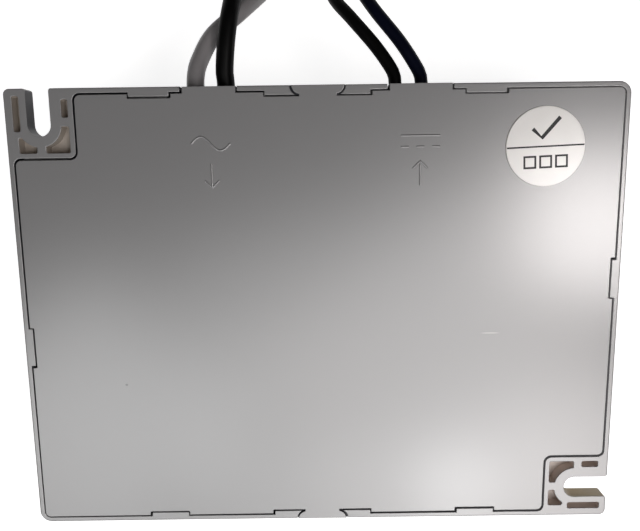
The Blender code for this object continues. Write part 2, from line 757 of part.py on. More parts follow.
def make_inductor(material):
    """Make the output inductor, a wound drum in its sleeve."""
    low = BOARD_TOP + GAP
    top = low + INDUCTOR_HEIGHT
    waist = INDUCTOR_RADIUS * 0.86
    profile = [
        (0, low), (INDUCTOR_RADIUS, low), (INDUCTOR_RADIUS, low + INDUCTOR_FLANGE),
        (waist, low + 1.6 * INDUCTOR_FLANGE), (waist, top - 1.6 * INDUCTOR_FLANGE),
        (INDUCTOR_RADIUS, top - INDUCTOR_FLANGE), (INDUCTOR_RADIUS, top), (0, top),
    ]
    return turned("output_inductor", profile, on_board(INDUCTOR_PLACE), material)


# Leads

def smooth_path(route, spacing):
    """Read evenly spaced points from a smooth curve through the route's points."""
    points = [Vector(p) for p in route]
    ends = [2 * points[0] - points[1]] + points + [2 * points[-1] - points[-2]]
    dense = []
    for p0, p1, p2, p3 in zip(ends, ends[1:], ends[2:], ends[3:]):
        for step in range(24):
            t = step / 24
            dense.append(0.5 * (2 * p1 + (p2 - p0) * t + (2 * p0 - 5 * p1 + 4 * p2 - p3) * t ** 2
                                + (3 * p1 - p0 - 3 * p2 + p3) * t ** 3))
    dense.append(points[-1])
    travelled = [0.0]
    for first, second in zip(dense, dense[1:]):
        travelled.append(travelled[-1] + (second - first).length)
    count = max(2, round(travelled[-1] / spacing))
    even = []
    index = 0
    for step in range(count + 1):
        wanted = travelled[-1] * step / count
        while index < len(dense) - 2 and travelled[index + 1] < wanted:
            index += 1
        share = (wanted - travelled[index]) / (travelled[index + 1] - travelled[index])
        even.append(dense[index].lerp(dense[index + 1], min(max(share, 0.0), 1.0)))
    return even


def tube(name, points, diameter, material):
    """Make a lead as a round tube along its centreline."""
    curve = bpy.data.curves.new(name, "CURVE")
    curve.dimensions = "3D"
    curve.bevel_depth = diameter / 2
    curve.bevel_resolution = 2
    curve.use_fill_caps = True
    spline = curve.splines.new("POLY")
    spline.points.add(len(points) - 1)
    for point, position in zip(spline.points, points):
        point.co = (*position, 1.0)
    curve.materials.append(material)
    lead = bpy.data.objects.new(name, curve)
    bpy.context.collection.objects.link(lead)
    return lead


def inner_route(x):
    """Route a lead from its hole in the board up and over to its notch in the wall."""
    hole_y = WIDTH / 2 - LEAD_HOLE_INSET
    wall_y = WIDTH / 2 - WALL
    rise = LEAD_Z - BOARD_TOP
    return [
        (x, hole_y, BOARD_TOP + GAP), (x, hole_y, BOARD_TOP + 0.3 * rise),
        (x, hole_y + 0.02 * rise, BOARD_TOP + 0.6 * rise), (x, hole_y + 0.15 * rise, BOARD_TOP + 0.87 * rise),
        (x, (hole_y + wall_y) / 2 + 0.05 * rise, LEAD_Z - 0.01 * rise), (x, wall_y, LEAD_Z),
        (x, WIDTH / 2 + WALL / 2, LEAD_Z),
    ]


def outer_route(x, coil, ring_x, rest, points):
    """Route a lead from its notch down to the table and on to where its coil begins.

    Each point is given across from the notch, out from the wall and as the share of the fall still to come.
    """
    fall = LEAD_Z - rest
    falling = [(x + across, WIDTH / 2 + out, rest + share * fall) for across, out, share in points]
    run_up = [(ring_x, coil.y - share * COIL_RUN_UP, rest) for share in (1.0, 0.5)]
    return inner_route(x) + falling + run_up


def tail_route(coil, rest, turns, diameter, points):
    """Route a lead from the top of its coil down to the table.

    Each point is given from the coil's centre, with the share of the height still to come.
    """
    top = diameter / 2 + math.floor(turns) * TURN_SPACING * diameter
    return [(coil.x + across, coil.y + along, rest + share * (top - rest)) for across, along, share in points]


def up_to_ring(points, middle, radius):
    """Follow points until they come within a radius of a coil's centre, and end exactly there."""
    kept = [points[0]]
    for first, second in zip(points, points[1:]):
        start = first.xy - middle
        step = second.xy - first.xy
        if (start + step).length < radius:
            along = start.dot(step)
            beyond = start.length_squared - radius ** 2
            reach = -along - math.sqrt(along ** 2 - step.length_squared * beyond)
            kept.append(first.lerp(second, reach / step.length_squared))
            break
        kept.append(second)
    return kept


def make_lead(name, route, tail, coil, ring_radius, diameter, conductor, materials):
    """Make a lead's stretch up to its coil, its stretch beyond the coil and its tinned end."""
    clear = ring_radius + diameter / 2 + GAP
    spacing = 2.2 * diameter
    near = up_to_ring(smooth_path(route, spacing), coil, clear)
    far = up_to_ring(smooth_path(tail, spacing)[::-1], coil, clear)[::-1]
    for point in near + far:
        point.z = max(point.z, diameter / 2)
    tube(name, near, diameter, materials[0])
    tube(f"{name}_end", far, diameter, materials[0])
    heading = (far[-1] - far[-2]).normalized()
    start = far[-1] + heading * GAP
    tube(f"{name}_tip", [start, start + heading * TIP_LENGTH], conductor, materials[1])


def make_coil(name, centre, radius, diameter, turns, tie_angle, materials):
    """Make the ring that a pair of leads fills when its spare length is coiled, and its tie."""
    inner = radius - diameter * TURN_SPACING
    outer = radius + diameter * TURN_SPACING
    top = diameter * (1 + math.floor(turns) * TURN_SPACING)
    bevel = diameter / 4
    profile = [
        (inner, bevel), (inner + bevel, 0), (outer - bevel, 0), (outer, bevel),
        (outer, top - bevel), (outer - bevel, top), (inner + bevel, top), (inner, top - bevel),
    ]
    turned(name, profile, centre, materials[0], FINE_ROUND)

    angle = math.radians(tie_angle)
    across = Vector((math.cos(angle), math.sin(angle), 0))
    along = Vector((-across.y, across.x, 0))
    middle = centre.to_3d()
    builder = bmesh.new()
    loops = []
    for half in (-TIE_WIDTH / 2, TIE_WIDTH / 2):
        sagitta = inner - math.sqrt(inner ** 2 - half ** 2)
        pair = []
        for offset in (GAP, GAP + TIE_THICKNESS):
            corners = ((inner - sagitta - offset, 0), (outer + offset, 0),
                       (outer + offset, top + offset), (inner - sagitta - offset, top + offset))
            places = [middle + across * r + along * half + Vector((0, 0, z)) for r, z in corners]
            pair.append([builder.verts.new(p) for p in places])
        loops.append(pair)
    (inside_a, outside_a), (inside_b, outside_b) = loops
    for index in (2, 3, 0):
        quad = (outside_a[index - 1], outside_a[index], outside_b[index], outside_b[index - 1])
        builder.faces.new(quad)
        quad = (inside_a[index], inside_a[index - 1], inside_b[index - 1], inside_b[index])
        builder.faces.new(quad)
        for inside, outside in loops:
            builder.faces.new((inside[index - 1], inside[index], outside[index], outside[index - 1]))
    for foot in (0, 1):
        builder.faces.new((inside_a[foot], outside_a[foot], outside_b[foot], inside_b[foot]))
    return add_object(f"{name}_tie", builder, materials[1])


def make_ac_leads(insulations, tin, nylon):
    """Make the mains pair, which cross on their way down, and their coil."""
    diameter = AC_LEAD_DIAMETER
    rest = diameter / 2
    step = diameter * TURN_SPACING
    coil = Vector((AC_COIL_AT[0], WIDTH / 2 + AC_COIL_AT[1]))
    outer = AC_COIL_RADIUS + step / 2
    inner = AC_COIL_RADIUS - step / 2

    white = outer_route(AC_LEAD_X[0], coil, coil.x + outer, rest, [
        (0.0001, 0.0023, 0.992), (0.0006, 0.0045, 0.959), (0.0028, 0.0090, 0.882),
        (0.0073, 0.0132, 0.812), (0.0114, 0.0180, 0.633), (0.0149, 0.0240, 0.347),
        (0.0174, 0.0310, 0.102),
    ])
    white_tail = tail_route(coil, rest, AC_TURNS[0], diameter, [
        (-outer, 0, 1), (-outer, -0.0060, 0.95), (-0.0183, -0.0090, 0.80), (-0.0197, -0.0150, 0.32),
        (-0.0241, -0.0194, 0), (-0.0301, -0.0210, 0), (-0.0350, -0.0214, 0),
    ])
    black = outer_route(AC_LEAD_X[1], coil, coil.x + inner, rest, [
        (-0.0001, 0.0029, 1.016), (0.0004, 0.0076, 1.033), (0.0011, 0.0122, 1.004),
        (0.0021, 0.0180, 0.857), (0.0041, 0.0240, 0.612), (0.0065, 0.0300, 0.339),
        (0.0085, 0.0350, 0.140),
    ])
    black_tail = tail_route(coil, rest, AC_TURNS[1], diameter, [
        (inner, 0, 1), (0.0155, 0.0060, 1), (0.0174, 0.0120, 0.94), (0.0208, 0.0170, 0.55),
        (0.0252, 0.0205, 0.111), (0.0300, 0.0222, 0), (0.0345, 0.0228, 0),
    ])
    ring = AC_COIL_RADIUS + step
    make_lead("ac_lead_white", white, white_tail, coil, ring, diameter, AC_CONDUCTOR_DIAMETER,
              (insulations[0], tin))
    make_lead("ac_lead_black", black, black_tail, coil, ring, diameter, AC_CONDUCTOR_DIAMETER,
              (insulations[1], tin))
    make_coil("ac_lead_coil", coil, AC_COIL_RADIUS, diameter, max(AC_TURNS), AC_TIE_ANGLE,
              (insulations[1], nylon))


def make_dc_leads(insulations, tin, nylon):
    """Make the output pair and their coil."""
    diameter = DC_LEAD_DIAMETER
    rest = diameter / 2
    step = diameter * TURN_SPACING
    coil = Vector((DC_COIL_AT[0], WIDTH / 2 + DC_COIL_AT[1]))
    outer = DC_COIL_RADIUS + step / 2
    inner = DC_COIL_RADIUS - step / 2

    black = outer_route(DC_LEAD_X[0], coil, coil.x - outer, rest, [
        (-0.0005, 0.0027, 0.992), (-0.0032, 0.0067, 0.960), (-0.0071, 0.0114, 0.908),
        (-0.0100, 0.0155, 0.779), (-0.0112, 0.0210, 0.538), (-0.0110, 0.0270, 0.257),
        (-0.0101, 0.0320, 0.070),
    ])
    black_tail = tail_route(coil, rest, DC_TURNS[0], diameter, [
        (outer, 0, 1), (outer, -0.0050, 0.78), (0.0138, -0.0080, 0.55), (0.0149, -0.0124, 0.17),
        (0.0181, -0.0156, 0), (0.0225, -0.0168, 0), (0.0260, -0.0172, 0),
    ])
    blue = outer_route(DC_LEAD_X[1], coil, coil.x - inner, rest, [
        (-0.0005, 0.0026, 0.992), (-0.0034, 0.0073, 0.956), (-0.0075, 0.0127, 0.892),
        (-0.0100, 0.0175, 0.739), (-0.0114, 0.0230, 0.498), (-0.0119, 0.0290, 0.237),
        (-0.0118, 0.0340, 0.080),
    ])
    blue_tail = tail_route(coil, rest, DC_TURNS[1], diameter, [
        (0, inner, 1), (0.0055, 0.0116, 1), (0.0115, 0.0122, 0.90), (0.0170, 0.0125, 0.40),
        (0.0220, 0.0123, 0), (0.0270, 0.0116, 0),
    ])
    ring = DC_COIL_RADIUS + step
    make_lead("dc_lead_black", black, black_tail, coil, ring, diameter, DC_CONDUCTOR_DIAMETER,
              (insulations[0], tin))
    make_lead("dc_lead_blue", blue, blue_tail, coil, ring, diameter, DC_CONDUCTOR_DIAMETER,
              (insulations[1], tin))
    make_coil("dc_lead_coil", coil, DC_COIL_RADIUS, diameter, max(DC_TURNS), DC_TIE_ANGLE,
              (insulations[0], nylon))


def build():
    """Build the whole driver."""
    for item in list(bpy.data.objects):
        bpy.data.objects.remove(item)

    plastic = make_material("case_plastic", (0.45, 0.44, 0.43), 0.35)
    plate_plastic = make_material("plate_plastic", (0.43, 0.42, 0.41), 0.32)
    paper = make_material("label_paper", (0.90, 0.87, 0.80), 0.40)
    glass_cloth = make_material("board_laminate", (0.62, 0.55, 0.30), 0.50)
    steel = make_material("screw_steel", (0.55, 0.55, 0.56), 0.30, 1.0)
    black_epoxy = make_material("black_epoxy", (0.03, 0.03, 0.03), 0.50)
    blue_epoxy = make_material("blue_epoxy", (0.05, 0.12, 0.40), 0.40)
    yellow_film = make_material("yellow_film", (0.80, 0.62, 0.10), 0.40)
    ferrite = make_material("ferrite", (0.08, 0.08, 0.08), 0.60)
    copper = make_material("enamelled_copper", (0.60, 0.25, 0.10), 0.30, 1.0)
    sleeve = make_material("black_sleeve", (0.04, 0.04, 0.05), 0.35)
    aluminium = make_material("aluminium", (0.75, 0.75, 0.76), 0.35, 1.0)
    bobbin_resin = make_material("bobbin_resin", (0.10, 0.10, 0.10), 0.50)
    tape = make_material("winding_tape", (0.85, 0.70, 0.15), 0.35)
    tin = make_material("tinned_copper", (0.75, 0.75, 0.74), 0.25, 1.0)
    white_pvc = make_material("white_insulation", (0.60, 0.59, 0.60), 0.35)
    black_pvc = make_material("black_insulation", (0.015, 0.015, 0.015), 0.35)
    blue_pvc = make_material("blue_black_insulation", (0.010, 0.010, 0.030), 0.35)
    tie_nylon = make_material("tie_nylon", (0.85, 0.85, 0.83), 0.40)

    make_housing(plastic)
    make_base_plate(plate_plastic)
    make_label(paper)

    up = Vector((0, 1))
    left = Vector((-1, 0))
    mosfet_sink = on_board(MOSFET_SINK_PLACE)
    diode_sink = on_board(DIODE_SINK_PLACE)
    mosfet_face = mosfet_sink + up * SINK_THICKNESS / 2
    diode_face = diode_sink + left * SINK_THICKNESS / 2
    holes = [on_board(VARISTOR_PLACE) + Vector(offset) for offset in disc_pins(VARISTOR_RADIUS)]
    holes += [on_board(Y_CAPACITOR_PLACE) + Vector(offset) for offset in disc_pins(Y_CAPACITOR_RADIUS)]
    holes += transistor_holes(mosfet_face, up) + transistor_holes(diode_face, left)
    make_board(glass_cloth, holes)
    for number, centre in enumerate(SCREW_BOSSES, 1):
        make_screw(f"board_screw_{number}", centre, steel)

    low = BOARD_TOP + GAP
    fuse_profile = [(0, low), (FUSE_RADIUS, low), (FUSE_RADIUS, low + 0.9 * FUSE_HEIGHT),
                    (FUSE_RADIUS * 0.9, low + FUSE_HEIGHT), (0, low + FUSE_HEIGHT)]
    turned("fuse", fuse_profile, on_board(FUSE_PLACE), black_epoxy)
    make_disc("varistor", on_board(VARISTOR_PLACE), VARISTOR_RADIUS, VARISTOR_THICKNESS, blue_epoxy)
    make_package("x_capacitor", on_board(X_CAPACITOR_PLACE), X_CAPACITOR_SIZE, yellow_film, 0.0006)
    make_choke(ferrite, copper)
    make_package("bridge_rectifier", on_board(BRIDGE_PLACE), BRIDGE_SIZE, black_epoxy, 0.0005)
    can_height = PLATE_Z - CAN_CLEARANCE - low
    for number, place in enumerate(BULK_PLACES, 1):
        make_can(f"bulk_capacitor_{number}", on_board(place), BULK_RADIUS, can_height, sleeve)
    for number, place in enumerate(OUTPUT_CAPACITOR_PLACES, 1):
        make_can(f"output_capacitor_{number}", on_board(place), OUTPUT_CAPACITOR_RADIUS,
                 OUTPUT_CAPACITOR_HEIGHT, sleeve)
    make_sink("mosfet_heatsink", mosfet_sink, MOSFET_SINK_LENGTH, up, aluminium)
    make_transistor("mosfet", mosfet_face, up, black_epoxy)
    make_sink("diode_heatsink", diode_sink, DIODE_SINK_LENGTH, left, aluminium)
    make_transistor("output_diode", diode_face, left, black_epoxy)
    make_transformer(ferrite, bobbin_resin, tape)
    make_disc("y_capacitor", on_board(Y_CAPACITOR_PLACE), Y_CAPACITOR_RADIUS, Y_CAPACITOR_THICKNESS,
              blue_epoxy)
    make_package("optocoupler", on_board(OPTOCOUPLER_PLACE), OPTOCOUPLER_SIZE, black_epoxy, 0.0004)
    make_package("controller_ic", on_board(CONTROLLER_PLACE), CONTROLLER_SIZE, black_epoxy, 0.0003)
    make_inductor(sleeve)

    make_ac_leads((white_pvc, black_pvc), tin, tie_nylon)
    make_dc_leads((black_pvc, blue_pvc), tin, tie_nylon)


build()
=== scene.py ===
"""Looks of the LED driver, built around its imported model.

Lengths are in metres, in the model's own frame: +Z out of the base plate, +Y where the leads leave.
"""

import math

import bmesh
import bpy
from mathutils import Matrix, Vector


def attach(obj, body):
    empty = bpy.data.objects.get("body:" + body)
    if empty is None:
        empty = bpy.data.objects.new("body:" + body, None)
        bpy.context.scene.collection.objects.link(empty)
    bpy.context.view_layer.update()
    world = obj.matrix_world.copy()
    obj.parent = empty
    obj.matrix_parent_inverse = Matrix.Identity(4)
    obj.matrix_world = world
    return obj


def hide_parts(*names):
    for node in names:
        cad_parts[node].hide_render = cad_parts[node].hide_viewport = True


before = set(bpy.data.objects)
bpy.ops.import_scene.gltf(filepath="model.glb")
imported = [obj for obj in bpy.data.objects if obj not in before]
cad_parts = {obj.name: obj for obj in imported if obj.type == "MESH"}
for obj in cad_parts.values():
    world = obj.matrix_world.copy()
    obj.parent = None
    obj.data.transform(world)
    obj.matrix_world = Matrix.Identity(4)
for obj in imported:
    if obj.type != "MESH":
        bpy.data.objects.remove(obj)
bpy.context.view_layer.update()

# Case, as the model has it
LENGTH = 0.102
WIDTH = 0.076
HEIGHT = 0.030
GAP = 0.0003
WALL = 0.0018
BOARD_TOP = 0.0066
PLATE_TOP = HEIGHT

# Leads, as the model has them
LEAD_Z = HEIGHT - 0.0040
LEAD_HOLE_INSET = 0.0090
COIL_RUN_UP = 0.0120
TURN_SPACING = 1.05
TIP_LENGTH = 0.0070
TIE_WIDTH = 0.0025
TIE_THICKNESS = 0.0008
STRAP_THICKNESS = 0.0007
TIE_SLACK = 0.0001
TIE_CORNER = 0.0012
TIE_HEAD = (0.0042, 0.0040, 0.0016)
AC_DIAMETER = 0.0030
DC_DIAMETER = 0.0022
AC_CONDUCTOR = 0.0012
DC_CONDUCTOR = 0.0009
AC_LEAD_X = (-0.0204, -0.0153)
DC_LEAD_X = (0.0130, 0.0174)
AC_COIL = Vector((-0.0200, WIDTH / 2 + 0.0570))
DC_COIL = Vector((0.0170, WIDTH / 2 + 0.0500))
AC_COIL_RADIUS = 0.0165
DC_COIL_RADIUS = 0.0125
AC_TIE_ANGLE = 100.0
DC_TIE_ANGLE = 25.0

# Finish of the coils and ties, with the degrees of coil over which each ring's lead climbs a level
LEAD_SPACING = 0.0010
CURVE_STEPS = 24
TURN_STEP = 5
OUTER_CLIMB = ((215, 305),)
INNER_CLIMB = ((270, 360), (630, 720))
TIE_LIFT_SPREAD = 16
TIE_BEVEL = 0.22
TIE_ROUNDING = 0.7
TIE_HEAD_LIFT = 0.0001
TIE_HEAD_EDGE = 0.0004
TIE_END_REACH = (-0.0008, 0.0011)
TIE_END_DROP = (0.0009, 0.0003)
TIE_END_SHARE = 0.86
TIE_END_EDGE = 0.00012

# Strands of the bare ends; at the tip's share of the length each one narrows to the tip's share of its radius
STRAND_COUNT = 7
STRAND_SIDES = 10
STRAND_SLICES = 28
STRAND_TWIST = 0.55
STRAND_FIT = 1.04
STRAND_UNEVEN = 0.03
STRAND_TIP = (0.97, 0.6)
STRAND_OVERLAP = 0.0002

# Case details, as the model has them
RIM_WALL = 0.00085
FLOOR = 0.0020
DRAFT = 0.0004
CORNER_RADIUS = 0.0020
INNER_RADIUS = 0.0002
NOTCH = 0.01035
EAR_THICKNESS = 0.0030
EAR_OVERLAP = CORNER_RADIUS + GAP
EAR_CORNER = 0.0010
SLOT_WIDTH = 0.0038
SLOT_OFFSET = 0.0055
SLOT_DEPTH = 0.0077
SLOT_BOSS_RADIUS = 0.00365
SLOT_MOUTH_RADIUS = 0.0005
POCKET_DEPTH = 0.0022
POCKET_RADIUS = 0.0003
LONG_POCKET = ((0.00135, 0.0012), (0.00245, 0.0069))
SHORT_POCKET = ((0.0093, 0.0018), (NOTCH, 0.0047))
WIDE_POCKET = ((0.0064, 0.0061), (NOTCH, 0.0104))
NARROW_POCKET = ((0.0020, 0.0079), (0.0049, 0.0104))
PLATE_THICKNESS = 0.0020
LUG_LENGTH = 0.0066
LUG_REACH = 0.0007
LUG_THICKNESS = 0.0011
LONG_SIDE_LUG_X = 0.02745
SHORT_SIDE_LUG_Y = 0.0054
TAB_HALF_WIDTH = 0.00445
TAB_ROOT_HALF_WIDTH = 0.0031
TAB_LUG_END = 0.0086
PLATE_RIB = 0.0012
AC_NOTCH = (-0.0222, -0.0132)
DC_NOTCH = (0.0115, 0.0220)
LEAD_GROUPS = ((AC_NOTCH, AC_LEAD_X, AC_DIAMETER), (DC_NOTCH, DC_LEAD_X, DC_DIAMETER))
BOARD_HEIGHT = 0.0050
BOSS_RADIUS = 0.0030
SCREW_RADIUS = 0.00125
BOSS_X = LENGTH / 2 - 0.0070
BOSS_Y = WIDTH / 2 - 0.0070
REST_BOSS_X = LENGTH / 2 - 0.0180
SCREW_BOSSES = ((-BOSS_X, -BOSS_Y), (BOSS_X, BOSS_Y))
REST_BOSSES = ((-REST_BOSS_X, BOSS_Y), (REST_BOSS_X, -BOSS_Y))
PLATE_Z = HEIGHT - PLATE_THICKNESS
SEAT_Z = PLATE_Z - GAP
LUG_Z = HEIGHT - LUG_THICKNESS

# Finish of the mouldings
SEAM_GAP = 0.00022
PLATE_INSET = RIM_WALL + SEAM_GAP
PLATE_SKEW = 0.0022
TAB_SILL_DEPTH = 0.0004
TAB_SILL_CLEARANCE = 0.00004
SMOOTH_CASE = 32
SMOOTH_SMALL = 40
SMOOTH_STRAND = 50
FLAT_FACE_WEIGHT = 100
FLAT_NORMAL = 0.9
CORNER_STEPS = 8
EDGE_STEPS = 4
EDGE_RADIUS = 0.00010
OUTER_EDGE = 0.00025
FOOT_RADIUS = 0.0008
LUG_CORNER = 0.00012
EJECTOR_RADIUS = 0.0025
EJECTOR_DEPTH = 0.00012
EJECTOR_PLACES = ((-0.043, -0.030), (0.043, 0.030), (-0.036, 0.031), (0.036, -0.031))
PANEL = ((-0.036, -0.023), (0.036, 0.023))
PANEL_RADIUS = 0.0020
PANEL_DEPTH = 0.0003

# Sticker and raised marks
LABEL_CENTRE = (0.0373, 0.0277)
LABEL_RADIUS = 0.0065
LABEL_THICKNESS = 0.00015
LABEL_GAP = 0.00005
LABEL_TILT = 2.3
RULE_MARGIN = 0.00015
RULE_WIDTH = 0.00026
TICK = ((-0.0021, 0.0029), (-0.0006, 0.0014), (0.0024, 0.0046))
TICK_WIDTH = 0.00062
BOX_PITCH = 0.0026
BOX_HALF = 0.0009
BOX_ENDS = (-0.0034, -0.0016)
BOX_WIDTH = 0.00032
INK_HEIGHT = 0.00001
INK_SINK = 0.00002
MARK_WIDTH = 0.00036
MARK_HEIGHT = 0.00016
MARK_SINK = 0.00008
SIGN_WIDTH = 0.0064
SIGN_HEIGHT = 0.0036
SIGN_WAVE = 0.62
AC_SIGN = (-0.0176, 0.0288)
DC_SIGN = (0.0168, 0.0288)
AC_ARROW_Y = (0.0256, 0.0216)
DC_ARROW_Y = (0.0216, 0.0256)
ARROW_BARB = 0.0012

# Light: each lamp's place and size in millimetres, its radiance and its tint
WARM = (1.0, 0.955, 0.945)
NEUTRAL = (1.0, 1.0, 1.0)
LAMPS = (
    ((257, -31, 503), 123, 8.59, WARM),
    ((169, -179, 304), 122, 2.26, WARM),
    ((-339, -365, 805), 365, 2.25, NEUTRAL),
    ((132, -211, 530), 340, 1.13, WARM),
    ((46, -197, 558), 354, 1.03, NEUTRAL),
    ((3, -135, 138), 118, 0.76, NEUTRAL),
    ((53, -104, 159), 30, 2.34, NEUTRAL),
)
WORLD_LIGHT = 0.02
WHITE = (1.0, 1.0, 1.0, 1.0)
FLOOR_SIZE = 0.5
FLOOR_GAP = 0.00005
FLOOR_GLOW = 0.86
FLOOR_COLOUR = (0.80, 0.80, 0.80, 1.0)
FLOOR_ROUGHNESS = 0.9
FLOOR_SPECULAR = 0.1

# Patterns of the finishes
MICRON = 0.000001
NOISE_RANGE = (0.2, 0.8)
NOISE_ROUGHNESS = 0.55
PATCH_DETAIL = 4.0
PATCH_RELIEF = 20
GRAIN_DETAIL = 2.0
GRAIN_SHADE = 0.5
WAVE_DISTORTION = 0.6
WAVE_SHARE = 0.35
WAVE_SHADE = 0.4
SPECKS_PER_PATCH = 2.2
SPECK_RIM = (0.035, 0.06)
SPECK_SHADE = 0.35
COAT_ROUGHNESS = 0.15
NYLON_GLOW = (1.0, 0.9, 0.8)
NYLON_GLOW_DEPTH = 0.0006
# Painted light: the colour that the seam's painted shade is lifted to towards +X
SEAM_PAINTED_LIGHT = (0.55, 0.55, 0.56)

# Wear on the plate: each mark's middle, its reach and its colour
WEAR = (
    ((-0.0339, -0.0123), (0.00030, 0.00026), (0.13, 0.13, 0.13)),
    ((0.0292, -0.0038), (0.00180, 0.00014), (0.46, 0.45, 0.44)),
)
WEAR_CORE = 0.5

# Camera
CAMERA_PLACE = (0.00006, 0.02599, 0.13679)
CAMERA_PITCH = 9.378
CAMERA_ROLL = 0.739
CAMERA_LENS = 36.0
CAMERA_CLIP = (0.005, 10)


def place_object(name, data):
    """Put an object with the given data into the scene."""
    thing = bpy.data.objects.new(name, data)
    bpy.context.scene.collection.objects.link(thing)
    return thing


def make_camera():
    """Place the camera as it stood for the photograph."""
    data = bpy.data.cameras.new("camera")
    data.lens = CAMERA_LENS
    data.sensor_width = CAMERA_LENS
    data.sensor_fit = "HORIZONTAL"
    data.clip_start, data.clip_end = CAMERA_CLIP
    camera = place_object("camera", data)
    roll = Matrix.Rotation(math.radians(CAMERA_ROLL), 4, "Z")
    pitch = Matrix.Rotation(math.radians(CAMERA_PITCH), 4, "X")
    camera.matrix_world = Matrix.Translation(CAMERA_PLACE) @ (roll @ pitch).inverted()
    bpy.context.scene.camera = camera


make_camera()


# Outlines

def with_headings(points):
    """Give each point of a closed outline with the directions that lead to it and on from it."""
    for index, point in enumerate(points):
        before = (point - points[index - 1]).normalized()
        after = (points[(index + 1) % len(points)] - point).normalized()
        yield point, before, after


def inset_corners(corners, inset):
    """Move each side of a right-angled, anticlockwise outline inwards."""
    return [corner + inset * (before.orthogonal() + after.orthogonal())
            for corner, before, after in with_headings(corners)]


def round_corners(corners, outer, inner=None, steps=CORNER_STEPS):
    """Fillet a right-angled, anticlockwise outline, with its own radius on inner corners."""
    points = []
    for corner, before, after in with_headings(corners):
        radius = inner if inner is not None and before.cross(after) < 0 else outer
        centre = corner + radius * (after - before)
        for step in range(steps + 1):
            angle = 0.5 * math.pi * step / steps
            points.append(centre - radius * math.cos(angle) * after + radius * math.sin(angle) * before)
    return points


def rectangle(low, high):
    """Give the corners of a rectangle, anticlockwise."""
    return [Vector(p) for p in ((low[0], low[1]), (high[0], low[1]), (high[0], high[1]), (low[0], high[1]))]


def circle(centre, radius, count=48):
    """Give points around a circle, anticlockwise."""
    turns = (2 * math.pi * step / count for step in range(count))
    return [Vector((centre[0] + radius * math.cos(a), centre[1] + radius * math.sin(a))) for a in turns]


def grow_outline(points, amount):
    """Move an anticlockwise outline outwards by the same amount all round."""
    grown = []
    for point, before, after in with_headings(points):
        mitre = Vector((before.y + after.y, -before.x - after.x))
        grown.append(point + mitre * (amount / (1 + before.dot(after))))
    return grown


def case_outline(inset):
    """Give the case's outline, a rectangle without the two corners that the ears cover."""
    x = LENGTH / 2
    y = WIDTH / 2
    corners = [
        Vector((x, y)), Vector((NOTCH - x, y)), Vector((NOTCH - x, y - NOTCH)), Vector((-x, y - NOTCH)),
        Vector((-x, -y)), Vector((x - NOTCH, -y)), Vector((x - NOTCH, NOTCH - y)), Vector((x, NOTCH - y)),
    ]
    outer = max(CORNER_RADIUS - inset, INNER_RADIUS)
    return round_corners(inset_corners(corners, inset), outer, INNER_RADIUS + inset)


def upper_left_ear(point):
    """Place a point of the ear's own frame on the ear at -X, +Y."""
    return Vector((point[0] - LENGTH / 2, WIDTH / 2 - point[1]))


def lower_right_ear(point):
    """Place the same point on the ear at +X, -Y, which is its mirror image over the diagonal."""
    return Vector((LENGTH / 2 - point[1], point[0] - WIDTH / 2))


def placed(points, place):
    """Place an outline on an ear and keep it anticlockwise."""
    moved = [place(p) for p in points]
    area = sum(moved[i - 1].cross(moved[i]) for i in range(len(moved)))
    return moved if area > 0 else moved[::-1]


# Solids

def smooth_below(mesh, angle):
    """Shade a mesh smooth across edges that turn by less than the given angle."""
    mesh.shade_smooth()
    mesh.set_sharp_from_angle(angle=math.radians(angle))


def link_mesh(name, builder, smooth_angle=None):
    """Turn a bmesh into an object, smooth below the given angle."""
    bmesh.ops.recalc_face_normals(builder, faces=builder.faces)
    mesh = bpy.data.meshes.new(name)
    builder.to_mesh(mesh)
    builder.free()
    solid = place_object(name, mesh)
    if smooth_angle is not None:
        smooth_below(mesh, smooth_angle)
    return solid


def join_rings(builder, rings):
    """Span faces between each ring of points and the next."""
    for first, second in zip(rings, rings[1:]):
        for index in range(len(first)):
            builder.faces.new((first[index - 1], first[index], second[index], second[index - 1]))


def loft(name, sections):
    """Join outlines of equal count, each at its height, into one capped solid."""
    builder = bmesh.new()
    rings = [[builder.verts.new((p.x, p.y, z)) for p in outline] for z, outline in sections]
    builder.faces.new(rings[0][::-1])
    builder.faces.new(rings[-1])
    join_rings(builder, rings)
    return link_mesh(name, builder)


def quarter_round(radius):
    """Give (pull, drop) pairs over a quarter-round edge, from its side up to its top."""
    angles = (0.5 * math.pi * step / EDGE_STEPS for step in range(EDGE_STEPS + 1))
    return [(radius * (1 - math.cos(a)), radius * (1 - math.sin(a))) for a in angles]


def rounded_top(outline, high, edge):
    """Give the levels over which an outline's top edge is rounded."""
    return [(high - drop, grow_outline(outline, -pull)) for pull, drop in quarter_round(edge)]


def rounded_foot(outline, low, edge):
    """Give the levels over which an outline's lower edge is rounded."""
    return [(low + drop, grow_outline(outline, -pull)) for pull, drop in quarter_round(edge)[::-1]]


def raised(name, outline, low, high, edge=EDGE_RADIUS):
    """Make an upright solid whose top edge is rounded."""
    return loft(name, [(low, outline)] + rounded_top(outline, high, edge))


def sunk(name, outline, low, floor_edge=0.0):
    """Make a cutter that leaves a rounded edge where it meets the plate's face."""
    floor = rounded_foot(outline, low, floor_edge) if floor_edge else [(low, outline)]
    top = [(PLATE_TOP - drop, grow_outline(outline, pull)) for pull, drop in quarter_round(EDGE_RADIUS)]
    return loft(name, floor + top + [(PLATE_TOP + GAP, grow_outline(outline, EDGE_RADIUS))])


def combine(target, others, operation):
    """Join other solids to a target, or cut them from it, and drop them."""
    for other in others:
        modifier = target.modifiers.new(other.name, "BOOLEAN")
        modifier.operation = operation
        modifier.object = other
    bpy.context.view_layer.update()
    result = target.evaluated_get(bpy.context.evaluated_depsgraph_get())
    mesh = bpy.data.meshes.new_from_object(result)
    target.modifiers.clear()
    target.data = mesh
    for other in others:
        bpy.data.objects.remove(other)


